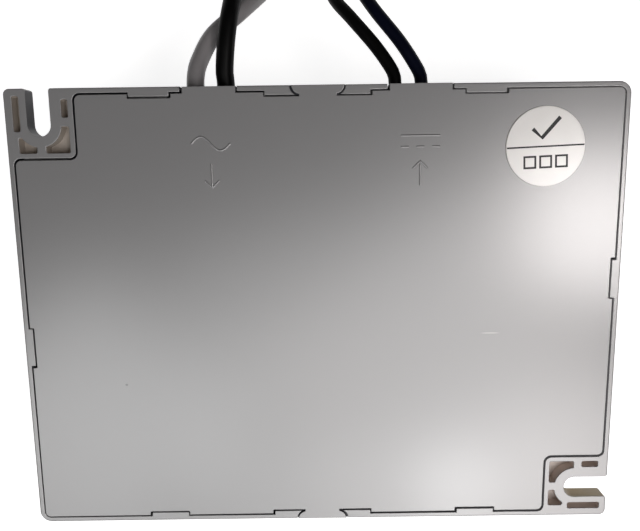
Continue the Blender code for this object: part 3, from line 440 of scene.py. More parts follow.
def smooth_over(piece, angle=SMOOTH_CASE):
    """Shade a piece smooth over its small edge rounds, with its flat faces kept flat."""
    smooth_below(piece.data, angle)
    modifier = piece.modifiers.new("flat_faces", "WEIGHTED_NORMAL")
    modifier.keep_sharp = True
    modifier.weight = FLAT_FACE_WEIGHT


# Leads

def smooth_points(route, spacing):
    """Read evenly spaced points from a smooth curve through the route's points."""
    points = [Vector(p) for p in route]
    ends = [2 * points[0] - points[1]] + points + [2 * points[-1] - points[-2]]
    dense = []
    for p0, p1, p2, p3 in zip(ends, ends[1:], ends[2:], ends[3:]):
        for step in range(CURVE_STEPS):
            t = step / CURVE_STEPS
            dense.append(0.5 * (2 * p1 + (p2 - p0) * t + (2 * p0 - 5 * p1 + 4 * p2 - p3) * t ** 2
                                + (3 * p1 - p0 - 3 * p2 + p3) * t ** 3))
    dense.append(points[-1])
    return even_points(dense, spacing)


def even_points(dense, spacing):
    """Space points evenly along a line."""
    travelled = [0.0]
    for first, second in zip(dense, dense[1:]):
        travelled.append(travelled[-1] + (second - first).length)
    count = max(2, round(travelled[-1] / spacing))
    even = []
    index = 0
    for step in range(count + 1):
        wanted = travelled[-1] * step / count
        while index < len(dense) - 2 and travelled[index + 1] < wanted:
            index += 1
        share = (wanted - travelled[index]) / (travelled[index + 1] - travelled[index])
        even.append(dense[index].lerp(dense[index + 1], min(max(share, 0.0), 1.0)))
    return even


def inner_route(x):
    """Route a lead from its hole in the board up and over to its notch in the wall."""
    hole_y = WIDTH / 2 - LEAD_HOLE_INSET
    wall_y = WIDTH / 2 - WALL
    rise = LEAD_Z - BOARD_TOP
    return [
        (x, hole_y, BOARD_TOP + GAP), (x, hole_y, BOARD_TOP + 0.3 * rise),
        (x, hole_y + 0.02 * rise, BOARD_TOP + 0.6 * rise), (x, hole_y + 0.15 * rise, BOARD_TOP + 0.87 * rise),
        (x, (hole_y + wall_y) / 2 + 0.05 * rise, LEAD_Z - 0.01 * rise), (x, wall_y, LEAD_Z),
        (x, WIDTH / 2 + WALL / 2, LEAD_Z),
    ]


def climb(turned, windows):
    """Give how many turns up a lead lies after so many degrees of coil."""
    level = 0.0
    for start, end in windows:
        share = min(max((turned - start) / (end - start), 0.0), 1.0)
        level += share * share * (3 - 2 * share)
    return level


def coil_points(centre, radius, diameter, start, direction, degrees, windows, tie_angle):
    """Wind a lead's turns, which lie on each other and lift a little over the tie."""
    points = []
    steps = int(degrees / TURN_STEP)
    for step in range(1, steps):
        turned = degrees * step / steps
        angle = math.radians(start + direction * turned)
        away = abs((start + direction * turned - tie_angle + 180) % 360 - 180)
        lift = TIE_THICKNESS * math.exp(-(away / TIE_LIFT_SPREAD) ** 2)
        height = diameter * (0.5 + TURN_SPACING * climb(turned, windows)) + lift
        x = centre.x + radius * math.cos(angle)
        y = centre.y + radius * math.sin(angle)
        points.append(Vector((x, y, height)))
    return points


def add_tube(name, points, diameter):
    """Make a lead as a round tube along its centreline."""
    curve = bpy.data.curves.new(name, "CURVE")
    curve.dimensions = "3D"
    curve.bevel_depth = diameter / 2
    curve.bevel_resolution = 6
    curve.use_fill_caps = True
    spline = curve.splines.new("POLY")
    spline.points.add(len(points) - 1)
    for point, position in zip(spline.points, points):
        point.co = (*position, 1.0)
    spline.use_smooth = True
    route = place_object(f"{name}_route", curve)
    bpy.context.view_layer.update()
    mesh = bpy.data.meshes.new_from_object(route.evaluated_get(bpy.context.evaluated_depsgraph_get()))
    bpy.data.objects.remove(route)
    return place_object(name, mesh)


def add_strands(name, start, heading, diameter):
    """Make a stripped end: seven tinned strands with a slight twist, tapering at the tip."""
    builder = bmesh.new()
    side = heading.cross(Vector((0, 0, 1))).normalized()
    up = side.cross(heading)
    strand = diameter / 6 * STRAND_FIT
    for number in range(STRAND_COUNT):
        rings = []
        for step in range(STRAND_SLICES + 1):
            along = step / STRAND_SLICES
            twist = 2 * math.pi * (number / 6 + STRAND_TWIST * along)
            out = 0.0 if number == 6 else diameter / 3
            length = TIP_LENGTH * (1 - STRAND_UNEVEN * (number * 3 % 4))
            swing = side * math.cos(twist) + up * math.sin(twist)
            middle = start + heading * (along * length) + swing * out
            radius = strand * (1 if along < STRAND_TIP[0] else STRAND_TIP[1])
            ring = []
            for corner in range(STRAND_SIDES):
                angle = 2 * math.pi * corner / STRAND_SIDES
                offset = (side * math.cos(angle) + up * math.sin(angle)) * radius
                ring.append(builder.verts.new(middle + offset))
            rings.append(ring)
        join_rings(builder, rings)
        builder.faces.new(rings[0][::-1])
        builder.faces.new(rings[-1])
    return link_mesh(name, builder, SMOOTH_STRAND)


def lead_out(x, coil, ring_x, rest, points):
    """Route a lead from its notch down to the table and on to where its coil begins.

    Each point is given across from the notch, out from the wall and as the share of the fall still to come.
    """
    fall = LEAD_Z - rest
    falling = [(x + across, WIDTH / 2 + out, rest + share * fall) for across, out, share in points]
    run_up = [(ring_x, coil.y - share * COIL_RUN_UP, rest) for share in (1.0, 0.5, 0.0)]
    return inner_route(x) + falling + run_up


def lead_tail(coil, rest, levels, diameter, points):
    """Route a lead from the top of its coil down to the table.

    Each point is given from the coil's centre, with the share of the height still to come.
    """
    top = diameter / 2 + levels * TURN_SPACING * diameter
    return [(coil.x + across, coil.y + along, rest + share * (top - rest)) for across, along, share in points]


def add_lead(name, near, turns, tail, diameter, conductor):
    first = smooth_points(near, LEAD_SPACING)
    last = smooth_points(tail, LEAD_SPACING)
    route = first + turns + last
    for point in route:
        point.z = max(point.z, diameter / 2)
    route = even_points(route, LEAD_SPACING)
    lead = add_tube(name, route, diameter)
    heading = (route[-1] - route[-2]).normalized()
    tip = add_strands(f"{name}_strands", route[-1] - heading * STRAND_OVERLAP, heading, conductor)
    for piece in (lead, tip):
        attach(piece, "root")
    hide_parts(name, f"{name}_end")
    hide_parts(f"{name}_tip")
    lead.name = f"{name}_insulation"
    return lead, tip


def ring_radii(radius, diameter):
    """Give the radii of a coil's outer and inner ring."""
    half = diameter * TURN_SPACING / 2
    return radius + half, radius - half


def bundle_path(low_r, high_r, top):
    """Give the path of a tie's strap round a bundle, as (radius, height) with rounded corners."""
    corners = rectangle((low_r, 0), (high_r, top))
    return round_corners(corners, TIE_CORNER, steps=6)


def make_tie(name, centre, ring, diameter, tie_angle, stands_for):
    """Make a cable tie: a strap round the bundle, with its ratchet head and trimmed end on top."""
    outer, inner = ring_radii(ring, diameter)
    reach = outer + diameter / 2
    narrow = inner - diameter / 2
    top = diameter * (1 + TURN_SPACING) + TIE_THICKNESS
    path = bundle_path(narrow - TIE_SLACK, reach + TIE_SLACK, top + TIE_SLACK)
    inside = [Vector((p.x, max(p.y, STRAP_THICKNESS))) for p in path]
    outside = [Vector((p.x, max(p.y, 0.0))) for p in grow_outline(path, STRAP_THICKNESS)]
    angle = math.radians(tie_angle)
    across = Vector((math.cos(angle), math.sin(angle), 0))
    along = Vector((-across.y, across.x, 0))
    middle = Vector((centre.x, centre.y, 0))

    def strap_place(point, side):
        return middle + across * point.x + along * side + Vector((0, 0, point.y))

    half = TIE_WIDTH / 2
    bevel = STRAP_THICKNESS * TIE_BEVEL
    builder = bmesh.new()
    loops = []
    for a, b in zip(inside, outside):
        step = (b - a) * TIE_BEVEL
        section = [(a, -half + bevel), (a + step, -half), (b - step, -half), (b, -half + bevel),
                   (b, half - bevel), (b - step, half), (a + step, half), (a, half - bevel)]
        loops.append([builder.verts.new(strap_place(point, side)) for point, side in section])
    join_rings(builder, loops + loops[:1])
    strap = link_mesh(name, builder)

    def block(label, low, high, edge):
        outline = round_corners(rectangle(low, high), edge, steps=4)
        under = rounded_foot(outline, low[2], edge * TIE_ROUNDING)
        solid = loft(label, under + rounded_top(outline, high[2], edge * TIE_ROUNDING))
        for vertex in solid.data.vertices:
            x, y, z = vertex.co
            vertex.co = strap_place(Vector((x, z)), y)
        return solid

    mid = (narrow + reach) / 2
    seat = top + TIE_SLACK
    head_end = mid + TIE_HEAD[0] / 2
    head_side = TIE_HEAD[1] / 2
    head_top = seat + STRAP_THICKNESS + TIE_HEAD[2]
    end_side = half * TIE_END_SHARE
    head = block("tie_head", (mid - TIE_HEAD[0] / 2, -head_side, seat + TIE_HEAD_LIFT),
                 (head_end, head_side, head_top), TIE_HEAD_EDGE)
    end = block("tie_end", (head_end + TIE_END_REACH[0], -end_side, head_top - TIE_END_DROP[0]),
                (head_end + TIE_END_REACH[1], end_side, head_top - TIE_END_DROP[1]), TIE_END_EDGE)
    combine(strap, [head, end], "UNION")
    smooth_over(strap, SMOOTH_SMALL)
    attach(strap, "root")
    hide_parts(stands_for)
    return strap


def make_pair(name, coil, radius, diameter, conductor, spin, tie_angle, leads):
    """Make two leads, wound one inside the other, and the tie that goes with one of them.

    Each lead is given with where it leaves the case, its ring's radius, the levels that it ends above the
    table, the degrees that it winds and where it climbs, its way out and its tail.
    """
    tie = make_tie(f"{name}_tie", coil, radius, diameter, tie_angle, f"{name}_lead_coil_tie")
    rest = diameter / 2
    made = []
    for number, (lead, x, ring, levels, degrees, climbs, way_out, way_end) in enumerate(leads):
        near = lead_out(x, coil, coil.x + spin * ring, rest, way_out)
        turns = coil_points(coil, ring, diameter, 90 - 90 * spin, spin, degrees, climbs, tie_angle)
        tail = lead_tail(coil, rest, levels, diameter, way_end)
        made.append(add_lead(lead, near, turns, tail, diameter, conductor))
    return made + [tie]


AC_OUTER, AC_INNER = ring_radii(AC_COIL_RADIUS, AC_DIAMETER)
DC_OUTER, DC_INNER = ring_radii(DC_COIL_RADIUS, DC_DIAMETER)

# The mains pair, which cross on their way down
AC_PAIR = (
    ("ac_lead_white", AC_LEAD_X[0], AC_OUTER, 1, 540, OUTER_CLIMB, (
        (0.0001, 0.0023, 0.992), (0.0006, 0.0045, 0.959), (0.0028, 0.0090, 0.882), (0.0073, 0.0132, 0.812),
        (0.0114, 0.0180, 0.633), (0.0149, 0.0240, 0.347), (0.0174, 0.0310, 0.102),
    ), (
        (-AC_OUTER, 0, 1), (-AC_OUTER, -0.0060, 0.95), (-0.0183, -0.0090, 0.80), (-0.0197, -0.0150, 0.32),
        (-0.0241, -0.0194, 0), (-0.0301, -0.0210, 0), (-0.0350, -0.0214, 0),
    )),
    ("ac_lead_black", AC_LEAD_X[1], AC_INNER, 2, 720, INNER_CLIMB, (
        (-0.0001, 0.0029, 1.016), (0.0004, 0.0076, 1.033), (0.0011, 0.0122, 1.004), (0.0021, 0.0180, 0.857),
        (0.0041, 0.0240, 0.612), (0.0065, 0.0300, 0.339), (0.0085, 0.0350, 0.140),
    ), (
        (AC_INNER, 0, 1), (0.0155, 0.0060, 1), (0.0174, 0.0120, 0.94), (0.0208, 0.0170, 0.55),
        (0.0252, 0.0205, 0.111), (0.0300, 0.0222, 0), (0.0345, 0.0228, 0),
    )),
)

# The output pair
DC_PAIR = (
    ("dc_lead_black", DC_LEAD_X[0], DC_OUTER, 1, 540, OUTER_CLIMB, (
        (-0.0005, 0.0027, 0.992), (-0.0032, 0.0067, 0.96), (-0.0071, 0.0114, 0.908), (-0.01, 0.0155, 0.779),
        (-0.0112, 0.0210, 0.538), (-0.0110, 0.0270, 0.257), (-0.0101, 0.0320, 0.070),
    ), (
        (DC_OUTER, 0, 1), (DC_OUTER, -0.0050, 0.78), (0.0138, -0.0080, 0.55), (0.0149, -0.0124, 0.17),
        (0.0181, -0.0156, 0), (0.0225, -0.0168, 0), (0.0260, -0.0172, 0),
    )),
    ("dc_lead_blue", DC_LEAD_X[1], DC_INNER, 2, 810, INNER_CLIMB, (
        (-0.0005, 0.0026, 0.992), (-0.0034, 0.0073, 0.956), (-0.0075, 0.0127, 0.892), (-0.01, 0.0175, 0.739),
        (-0.0114, 0.0230, 0.498), (-0.0119, 0.0290, 0.237), (-0.0118, 0.0340, 0.080),
    ), (
        (0, DC_INNER, 1), (0.0055, 0.0116, 1), (0.0115, 0.0122, 0.90), (0.0170, 0.0125, 0.40),
        (0.0220, 0.0123, 0), (0.0270, 0.0116, 0),
    )),
)

AC_LEADS = make_pair("ac", AC_COIL, AC_COIL_RADIUS, AC_DIAMETER, AC_CONDUCTOR, 1, AC_TIE_ANGLE,
                     AC_PAIR)
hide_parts("ac_lead_coil")
DC_LEADS = make_pair("dc", DC_COIL, DC_COIL_RADIUS, DC_DIAMETER, DC_CONDUCTOR, -1, DC_TIE_ANGLE,
                     DC_PAIR)
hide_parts("dc_lead_coil")


# Case and plate

def flared_tab(side, grow):
    """Give the outline of the tab that crosses the rim, with its two curved flanks."""
    outer = WIDTH / 2 + (GAP if grow > 0 else 0)
    flank = TAB_HALF_WIDTH - TAB_ROOT_HALF_WIDTH
    depth = RIM_WALL + LUG_REACH
    radius = (flank ** 2 + depth ** 2) / (2 * flank)
    sweep = math.asin(depth / radius)
    right = []
    steps = 8
    for step in range(steps + 1):
        angle = sweep * step / steps
        x = TAB_HALF_WIDTH - radius + (radius + grow) * math.cos(angle)
        right.append(Vector((x, WIDTH / 2 - (radius + grow) * math.sin(angle))))
    right[0].y = outer
    root = WIDTH / 2 - RIM_WALL - LUG_REACH - 2 * GAP
    right.append(Vector((right[-1].x, root)))
    left = [Vector((-p.x, p.y)) for p in right]
    points = left + right[::-1]
    return points if side > 0 else [Vector((p.x, -p.y)) for p in points][::-1]


def lug_outlines(grow):
    """Give the outlines of the snap lugs on the rim's inner face."""
    half = LUG_LENGTH / 2 + grow
    rim_x = LENGTH / 2 - RIM_WALL
    rim_y = WIDTH / 2 - RIM_WALL
    outlines = []
    for side in (-1, 1):
        inner_y = side * (rim_y - LUG_REACH - grow)
        outer_y = side * (rim_y + RIM_WALL / 2)
        spans = [(sign * LONG_SIDE_LUG_X - half, sign * LONG_SIDE_LUG_X + half) for sign in (-1, 1)]
        end = TAB_LUG_END + grow
        spans += [(-end, -TAB_ROOT_HALF_WIDTH / 2), (TAB_ROOT_HALF_WIDTH / 2, end)]
        for low, high in spans:
            outlines.append(rectangle((low, min(inner_y, outer_y)), (high, max(inner_y, outer_y))))
        inner_x = side * (rim_x - LUG_REACH - grow)
        outer_x = side * (rim_x + RIM_WALL / 2)
        centre_y = side * SHORT_SIDE_LUG_Y
        low = (min(inner_x, outer_x), centre_y - half)
        outlines.append(rectangle(low, (max(inner_x, outer_x), centre_y + half)))
    return [round_corners(outline, LUG_CORNER, steps=3) for outline in outlines]


def along_y(x, radius, low, high):
    """Make a round bore that a lead passes through."""
    builder = bmesh.new()
    rings = []
    for y in (low, high):
        rings.append([builder.verts.new((x + p.x, y, LEAD_Z + p.y)) for p in circle((0, 0), radius, 32)])
    builder.faces.new(rings[0])
    builder.faces.new(rings[1][::-1])
    for index in range(32):
        builder.faces.new((rings[0][index - 1], rings[1][index - 1], rings[1][index], rings[0][index]))
    return link_mesh("bore", builder)


def round_bars(name, places, radius, sides, low, high):
    """Make an upright round bar at each place."""
    outlines = [circle(place, radius, sides) for place in places]
    return [loft(name, [(low, outline), (high, outline)]) for outline in outlines]


def ear_flange(place):
    """Make an ear's flange, rounded on its own corner and along its edges."""
    size = NOTCH + EAR_OVERLAP
    low = PLATE_TOP - EAR_THICKNESS
    blank = placed(rectangle((0, 0), (size, size)), place)
    own_corner = place((0, 0))
    outline = []
    for corner, before, after in with_headings(blank):
        if (corner - own_corner).length < GAP:
            centre = corner + EAR_CORNER * (after - before)
            for step in range(CORNER_STEPS + 1):
                angle = math.pi * step / (2 * CORNER_STEPS)
                outline.append(centre - EAR_CORNER * (math.cos(angle) * after - math.sin(angle) * before))
        else:
            outline.append(corner)
    under = rounded_foot(outline, low, OUTER_EDGE)
    return loft("ear", under + rounded_top(outline, PLATE_TOP, OUTER_EDGE))


def slot_outline(place):
    """Give an ear's open slot: a rounded mouth, straight sides and a half-round end."""
    half = SLOT_WIDTH / 2
    side = [(-half - SLOT_MOUTH_RADIUS, -3 * GAP)]
    for step in range(7):
        angle = math.pi * step / 12
        x = -half - SLOT_MOUTH_RADIUS * (1 - math.sin(angle))
        side.append((x, SLOT_MOUTH_RADIUS * (1 - math.cos(angle))))
    for step in range(13):
        angle = math.pi * step / 24
        side.append((-half * math.cos(angle), SLOT_DEPTH - half * (1 - math.sin(angle))))
    other_side = [(-x, y) for x, y in side[-2::-1]]
    return placed([(SLOT_OFFSET + x, y) for x, y in side + other_side], place)


def ear_cutters(place):
    """Make an ear's slot and its cored pockets as cutters."""
    low = PLATE_TOP - EAR_THICKNESS
    cutters = [sunk("slot", slot_outline(place), low - GAP)]
    centre = place((SLOT_OFFSET, SLOT_DEPTH - SLOT_WIDTH / 2))
    for corner_pair in (LONG_POCKET, SHORT_POCKET, WIDE_POCKET, NARROW_POCKET):
        outline = round_corners(placed(rectangle(*corner_pair), place), POCKET_RADIUS, steps=4)
        pocket = sunk("pocket", outline, PLATE_TOP - POCKET_DEPTH, floor_edge=POCKET_RADIUS / 2)
        if corner_pair in (WIDE_POCKET, NARROW_POCKET):
            boss = circle(centre, SLOT_BOSS_RADIUS, 64)
            crown = (PLATE_TOP + 2 * GAP, grow_outline(boss, -EDGE_RADIUS))
            wall = loft("slot_boss", [(low, boss), *rounded_top(boss, PLATE_TOP, EDGE_RADIUS), crown])
            combine(pocket, [wall], "DIFFERENCE")
        cutters.append(pocket)
    return cutters


def lead_notch(span):
    """Give the ends of a notch that leads leave by."""
    low = (span[0] - GAP / 2, WIDTH / 2 - WALL - DRAFT)
    return low, (span[1] + GAP / 2, WIDTH / 2 + 2 * GAP)


def make_case():
    """Make the moulded cup, with rounded edges, ears, lugs and notches."""
    foot = [(drop, case_outline(DRAFT + pull)) for pull, drop in quarter_round(FOOT_RADIUS)[::-1]]
    top = [(PLATE_TOP - drop, case_outline(pull)) for pull, drop in quarter_round(OUTER_EDGE)]
    case = loft("case_shell", foot + top)
    combine(case, [ear_flange(place) for place in (upper_left_ear, lower_right_ear)], "UNION")
    rim = [(PLATE_TOP - drop, case_outline(RIM_WALL - pull)) for pull, drop in quarter_round(EDGE_RADIUS)]
    hollow = loft("hollow", [
        (FLOOR, case_outline(WALL + DRAFT)), (SEAT_Z, case_outline(WALL)), (SEAT_Z, case_outline(RIM_WALL)),
    ] + rim + [(PLATE_TOP + GAP, case_outline(RIM_WALL - EDGE_RADIUS))])
    combine(case, [hollow], "DIFFERENCE")
    lugs = [raised("lug", outline, PLATE_TOP - LUG_THICKNESS, PLATE_TOP) for outline in lug_outlines(0)]
    combine(case, lugs, "UNION")
    cutters = []
    for place in (upper_left_ear, lower_right_ear):
        cutters += ear_cutters(place)
    for side in (-1, 1):
        cutters.append(sunk("tab_gap", flared_tab(side, GAP / 2), SEAT_Z))
    for span, positions, diameter in LEAD_GROUPS:
        low, high = lead_notch(span)
        cutters.append(sunk("notch", rectangle(low, high), LEAD_Z))
        for x in positions:
            cutters.append(along_y(x, diameter / 2 + GAP, low[1] - GAP, high[1]))
    cutters += round_bars("ejector", EJECTOR_PLACES, EJECTOR_RADIUS, 48, -GAP, EJECTOR_DEPTH)
    panel = round_corners(rectangle(*PANEL), PANEL_RADIUS)
    cutters.append(loft("panel", [(-GAP, grow_outline(panel, PANEL_DEPTH)), (PANEL_DEPTH, panel)]))
    combine(case, cutters, "DIFFERENCE")
    places = SCREW_BOSSES + REST_BOSSES
    combine(case, round_bars("boss", places, BOSS_RADIUS, 32, FLOOR / 2, BOARD_HEIGHT - GAP), "UNION")
    pilots = round_bars("pilot", SCREW_BOSSES, SCREW_RADIUS + GAP, 24, FLOOR, BOARD_HEIGHT)
    combine(case, pilots, "DIFFERENCE")
    smooth_over(case)
    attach(case, "root")
    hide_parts("housing")
    return case


def skew(piece):
    """Lean an outline towards its upper right and lower left corners, where the plate's seam is tightest."""
    for vertex in piece.data.vertices:
        x, y = vertex.co.x, vertex.co.y
        vertex.co.x = x + PLATE_SKEW * y
        vertex.co.y = y + PLATE_SKEW * x


def tab_sill(side):
    """Make the step below a tab's flanks that shuts its slits."""
    wide = flared_tab(side, GAP / 2 - TAB_SILL_CLEARANCE)
    outline = [Vector((p.x, math.copysign(min(abs(p.y), WIDTH / 2), p.y))) for p in wide]
    return loft("tab_sill", [(PLATE_Z, outline), (PLATE_TOP - TAB_SILL_DEPTH, outline)])


def make_plate():
    """Make the flush plate with its lip under the lugs, its tabs, and its tongues over the leads."""
    edge = [(PLATE_TOP - drop, case_outline(PLATE_INSET + pull)) for pull, drop in quarter_round(EDGE_RADIUS)]
    plate = loft("plate", [(PLATE_Z, case_outline(PLATE_INSET))] + edge)
    notches = [sunk("lug_notch", outline, LUG_Z - GAP) for outline in lug_outlines(SEAM_GAP)]
    combine(plate, notches, "DIFFERENCE")
    additions = [raised("tab", flared_tab(side, -GAP / 2), PLATE_Z, PLATE_TOP) for side in (-1, 1)]
    inner_y = WIDTH / 2 - PLATE_INSET - RIM_WALL
    tongue_y = WIDTH / 2 - WALL + GAP
    for span in (AC_NOTCH, DC_NOTCH):
        left = span[0] + GAP / 2
        right = span[1] - GAP / 2
        tab = rectangle((left, inner_y), (right, WIDTH / 2))
        tongue = rectangle((left, tongue_y), (right, WIDTH / 2))
        additions.append(raised("wire_tab", tab, PLATE_Z, PLATE_TOP))
        additions.append(loft("tongue", [(LEAD_Z + GAP, tongue), (PLATE_TOP - PLATE_THICKNESS / 2, tongue)]))
    rib_inset = WALL + DRAFT + 2 * GAP
    rib_low = PLATE_Z - PLATE_RIB
    rib = loft("rib", [(rib_low, case_outline(rib_inset)), (PLATE_Z + GAP, case_outline(rib_inset))])
    inside = case_outline(rib_inset + PLATE_RIB)
    combine(rib, [loft("rib_inside", [(rib_low - GAP, inside), (PLATE_Z + 2 * GAP, inside)])], "DIFFERENCE")
    combine(plate, additions + [rib], "UNION")
    bores = []
    for _, positions, diameter in LEAD_GROUPS:
        for x in positions:
            bores.append(along_y(x, diameter / 2 + GAP, WIDTH / 2 - 3 * WALL, WIDTH / 2 + GAP))
    combine(plate, bores, "DIFFERENCE")
    skew(plate)
    combine(plate, [tab_sill(side) for side in (-1, 1)], "UNION")
    smooth_over(plate)
    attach(plate, "root")
    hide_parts("base_plate")
    return plate


CASE = make_case()
PLATE = make_plate()


# Sticker, its print and the raised marks

def sweep(builder, path, section, base):
    """Sweep a flat-based section of (across, up) points along a path on the plate, closed at both ends."""
    rings = []
    for index, point in enumerate(path):
        before = path[max(index - 1, 0)]
        after = path[min(index + 1, len(path) - 1)]
        heading = (after - before).normalized()
        aside = Vector((-heading.y, heading.x))
        ring = []
        for across, up in section:
            place = point + aside * across
            ring.append(builder.verts.new((place.x, place.y, base + up)))
        rings.append(ring)
    for first, second in zip(rings, rings[1:]):
        for index in range(len(section)):
            builder.faces.new((first[index - 1], second[index - 1], second[index], first[index]))
    builder.faces.new(rings[0])
    builder.faces.new(rings[-1][::-1])


def add_frame(builder, corners, section, base):
    """Run a flat-based section of (across, up) points round an outline."""
    rings = []
    for across, up in section:
        rings.append([builder.verts.new((p.x, p.y, base + up)) for p in grow_outline(corners, across)])
    join_rings(builder, rings + rings[:1])


def ridge_section(width, height, steps=8):
    """Give the section of a raised mark with a rounded crown and a foot sunk into its face."""
    half = width / 2
    section = [(half, -MARK_SINK)]
    for step in range(steps + 1):
        angle = math.pi * step / steps
        section.append((half * math.cos(angle), height * math.sin(angle)))
    section.append((-half, -MARK_SINK))
    return section


def line(start, end, steps=1):
    """Give points along a straight line."""
    a, b = Vector(start), Vector(end)
    return [a.lerp(b, step / steps) for step in range(steps + 1)]


def wave(centre, width, height, steps=32):
    """Give one period of a sine wave, the common sign for alternating current."""
    points = []
    for step in range(steps + 1):
        x = centre[0] + width * (step / steps - 0.5)
        y = centre[1] + height / 2 * math.sin(2 * math.pi * step / steps)
        points.append(Vector((x, y)))
    return points


def arrow(tail, head, barb):
    """Give the strokes of a plain arrow."""
    tail, head = Vector(tail), Vector(head)
    back = (tail - head).normalized()
    aside = Vector((-back.y, back.x))
    left = head + (back + aside) * barb
    right = head + (back - aside) * barb
    return [line(tail, head), [left, left.lerp(head, 0.5), head, head.lerp(right, 0.5), right]]


def make_marks():
    """Raise the common signs for alternating and direct current, and the way that each flows."""
    strokes = [wave(AC_SIGN, SIGN_WIDTH, SIGN_HEIGHT * SIGN_WAVE)]
    strokes += arrow((AC_SIGN[0], AC_ARROW_Y[0]), (AC_SIGN[0], AC_ARROW_Y[1]), ARROW_BARB)
    x, y = DC_SIGN
    half = SIGN_WIDTH / 2
    upper = y + SIGN_HEIGHT / 4
    lower = y - SIGN_HEIGHT / 4
    strokes.append(line((x - half, upper), (x + half, upper)))
    dash = SIGN_WIDTH / 5
    for step in (-2, 0, 2):
        strokes.append(line((x + (step - 0.5) * dash, lower), (x + (step + 0.5) * dash, lower)))
    strokes += arrow((x, DC_ARROW_Y[0]), (x, DC_ARROW_Y[1]), ARROW_BARB)
    builder = bmesh.new()
    for stroke in strokes:
        sweep(builder, stroke, ridge_section(MARK_WIDTH, MARK_HEIGHT), PLATE_TOP)
    marks = link_mesh("plate_marks", builder, SMOOTH_SMALL)
    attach(marks, "root")
    return marks


def make_label():
    """Make the round sticker, a hair above the plate, with its cut edge slightly rounded."""
    low = PLATE_TOP + LABEL_GAP
    outline = circle(LABEL_CENTRE, LABEL_RADIUS, 160)
    label = raised("sticker", outline, low, low + LABEL_THICKNESS, LABEL_THICKNESS / 2)
    smooth_over(label)
    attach(label, "root")
    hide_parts("inspection_label")
    return label


def make_print():
    """Print the sticker with a rule across it, a tick above and three ruled boxes below."""
    base = PLATE_TOP + LABEL_GAP + LABEL_THICKNESS
    centre = Vector(LABEL_CENTRE)
    tilt = Matrix.Rotation(math.radians(LABEL_TILT), 2)

    def at(x, y):
        return centre + tilt @ Vector((x, y))

    def flat(width):
        half = width / 2
        return [(half, -INK_SINK), (half, INK_HEIGHT), (-half, INK_HEIGHT), (-half, -INK_SINK)]

    builder = bmesh.new()
    reach = LABEL_RADIUS - RULE_MARGIN
    sweep(builder, line(at(-reach, 0.0), at(reach, 0.0)), flat(RULE_WIDTH), base)
    sweep(builder, [at(*point) for point in TICK], flat(TICK_WIDTH), base)
    for step in (-1, 0, 1):
        x = step * BOX_PITCH
        corners = rectangle((x - BOX_HALF, BOX_ENDS[0]), (x + BOX_HALF, BOX_ENDS[1]))
        add_frame(builder, [at(*corner) for corner in corners], flat(BOX_WIDTH), base)
    ink = link_mesh("sticker_print", builder)
    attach(ink, "root")
    return ink


MARKS = make_marks()
LABEL = make_label()
PRINT = make_print()


# Materials

def feed(tree, node, inputs):
    """Set a node's inputs, or link those that are given as another node's output."""
    for key, value in inputs.items():
        if isinstance(value, bpy.types.NodeSocket):
            tree.links.new(value, node.inputs[key])
        else:
            node.inputs[key].default_value = value


def add_node(tree, kind, inputs, **settings):
    """Add a node with its settings and its inputs."""
    node = tree.nodes.new(f"ShaderNode{kind}")
    for name, value in settings.items():
        setattr(node, name, value)
    feed(tree, node, inputs)
    return node


def new_tree(material):
    """Turn on a material's or a world's nodes and give their tree."""
    material.use_nodes = True
    return material.node_tree


def own_place(tree):
    """Give each point's place in its piece's own frame."""
    return add_node(tree, "TexCoord", {}).outputs["Object"]


def ramp(tree, source, low, high, start=0.0, end=1.0, shape="LINEAR"):
    """Take a value from its own range to another one, and hold it at both ends."""
    inputs = {"Value": source, "From Min": start, "From Max": end, "To Min": low, "To Max": high}
    return add_node(tree, "MapRange", inputs, interpolation_type=shape).outputs["Result"]


def spread(tree, pattern, low, high):
    """Spread a pattern, which stays around a half, smoothly over a range."""
    return ramp(tree, pattern, low, high, *NOISE_RANGE, "SMOOTHERSTEP")


def noise(tree, place, scale, detail):
    """Add a noise pattern whose features are about 1/scale metres across."""
    inputs = {"Vector": place, "Scale": scale, "Detail": detail, "Roughness": NOISE_ROUGHNESS}
    return add_node(tree, "TexNoise", inputs).outputs["Fac"]


def mix(tree, factor, first, second):
    """Mix two colours, each given as a colour or another node's output."""
    node = add_node(tree, "Mix", {"Factor": factor}, data_type="RGBA")
    for name, colour in (("A", first), ("B", second)):
        target = next(s for s in node.inputs if s.name == name and s.type == "RGBA")
        if isinstance(colour, tuple):
            target.default_value = (*colour, 1.0)
        else:
            tree.links.new(colour, target)
    return next(s for s in node.outputs if s.type == "RGBA")


def bump(tree, heights):
    """Stack height patterns, each with its depth in metres, finest last."""
    below = {}
    for height, depth in heights:
        node = add_node(tree, "Bump", {"Strength": 1.0, "Distance": depth, "Height": height, **below})
        below = {"Normal": node.outputs["Normal"]}
    return below["Normal"]


def shade(colour, factor):
    """Make a colour lighter or darker."""
    return tuple(min(1.0, channel * factor) for channel in colour)


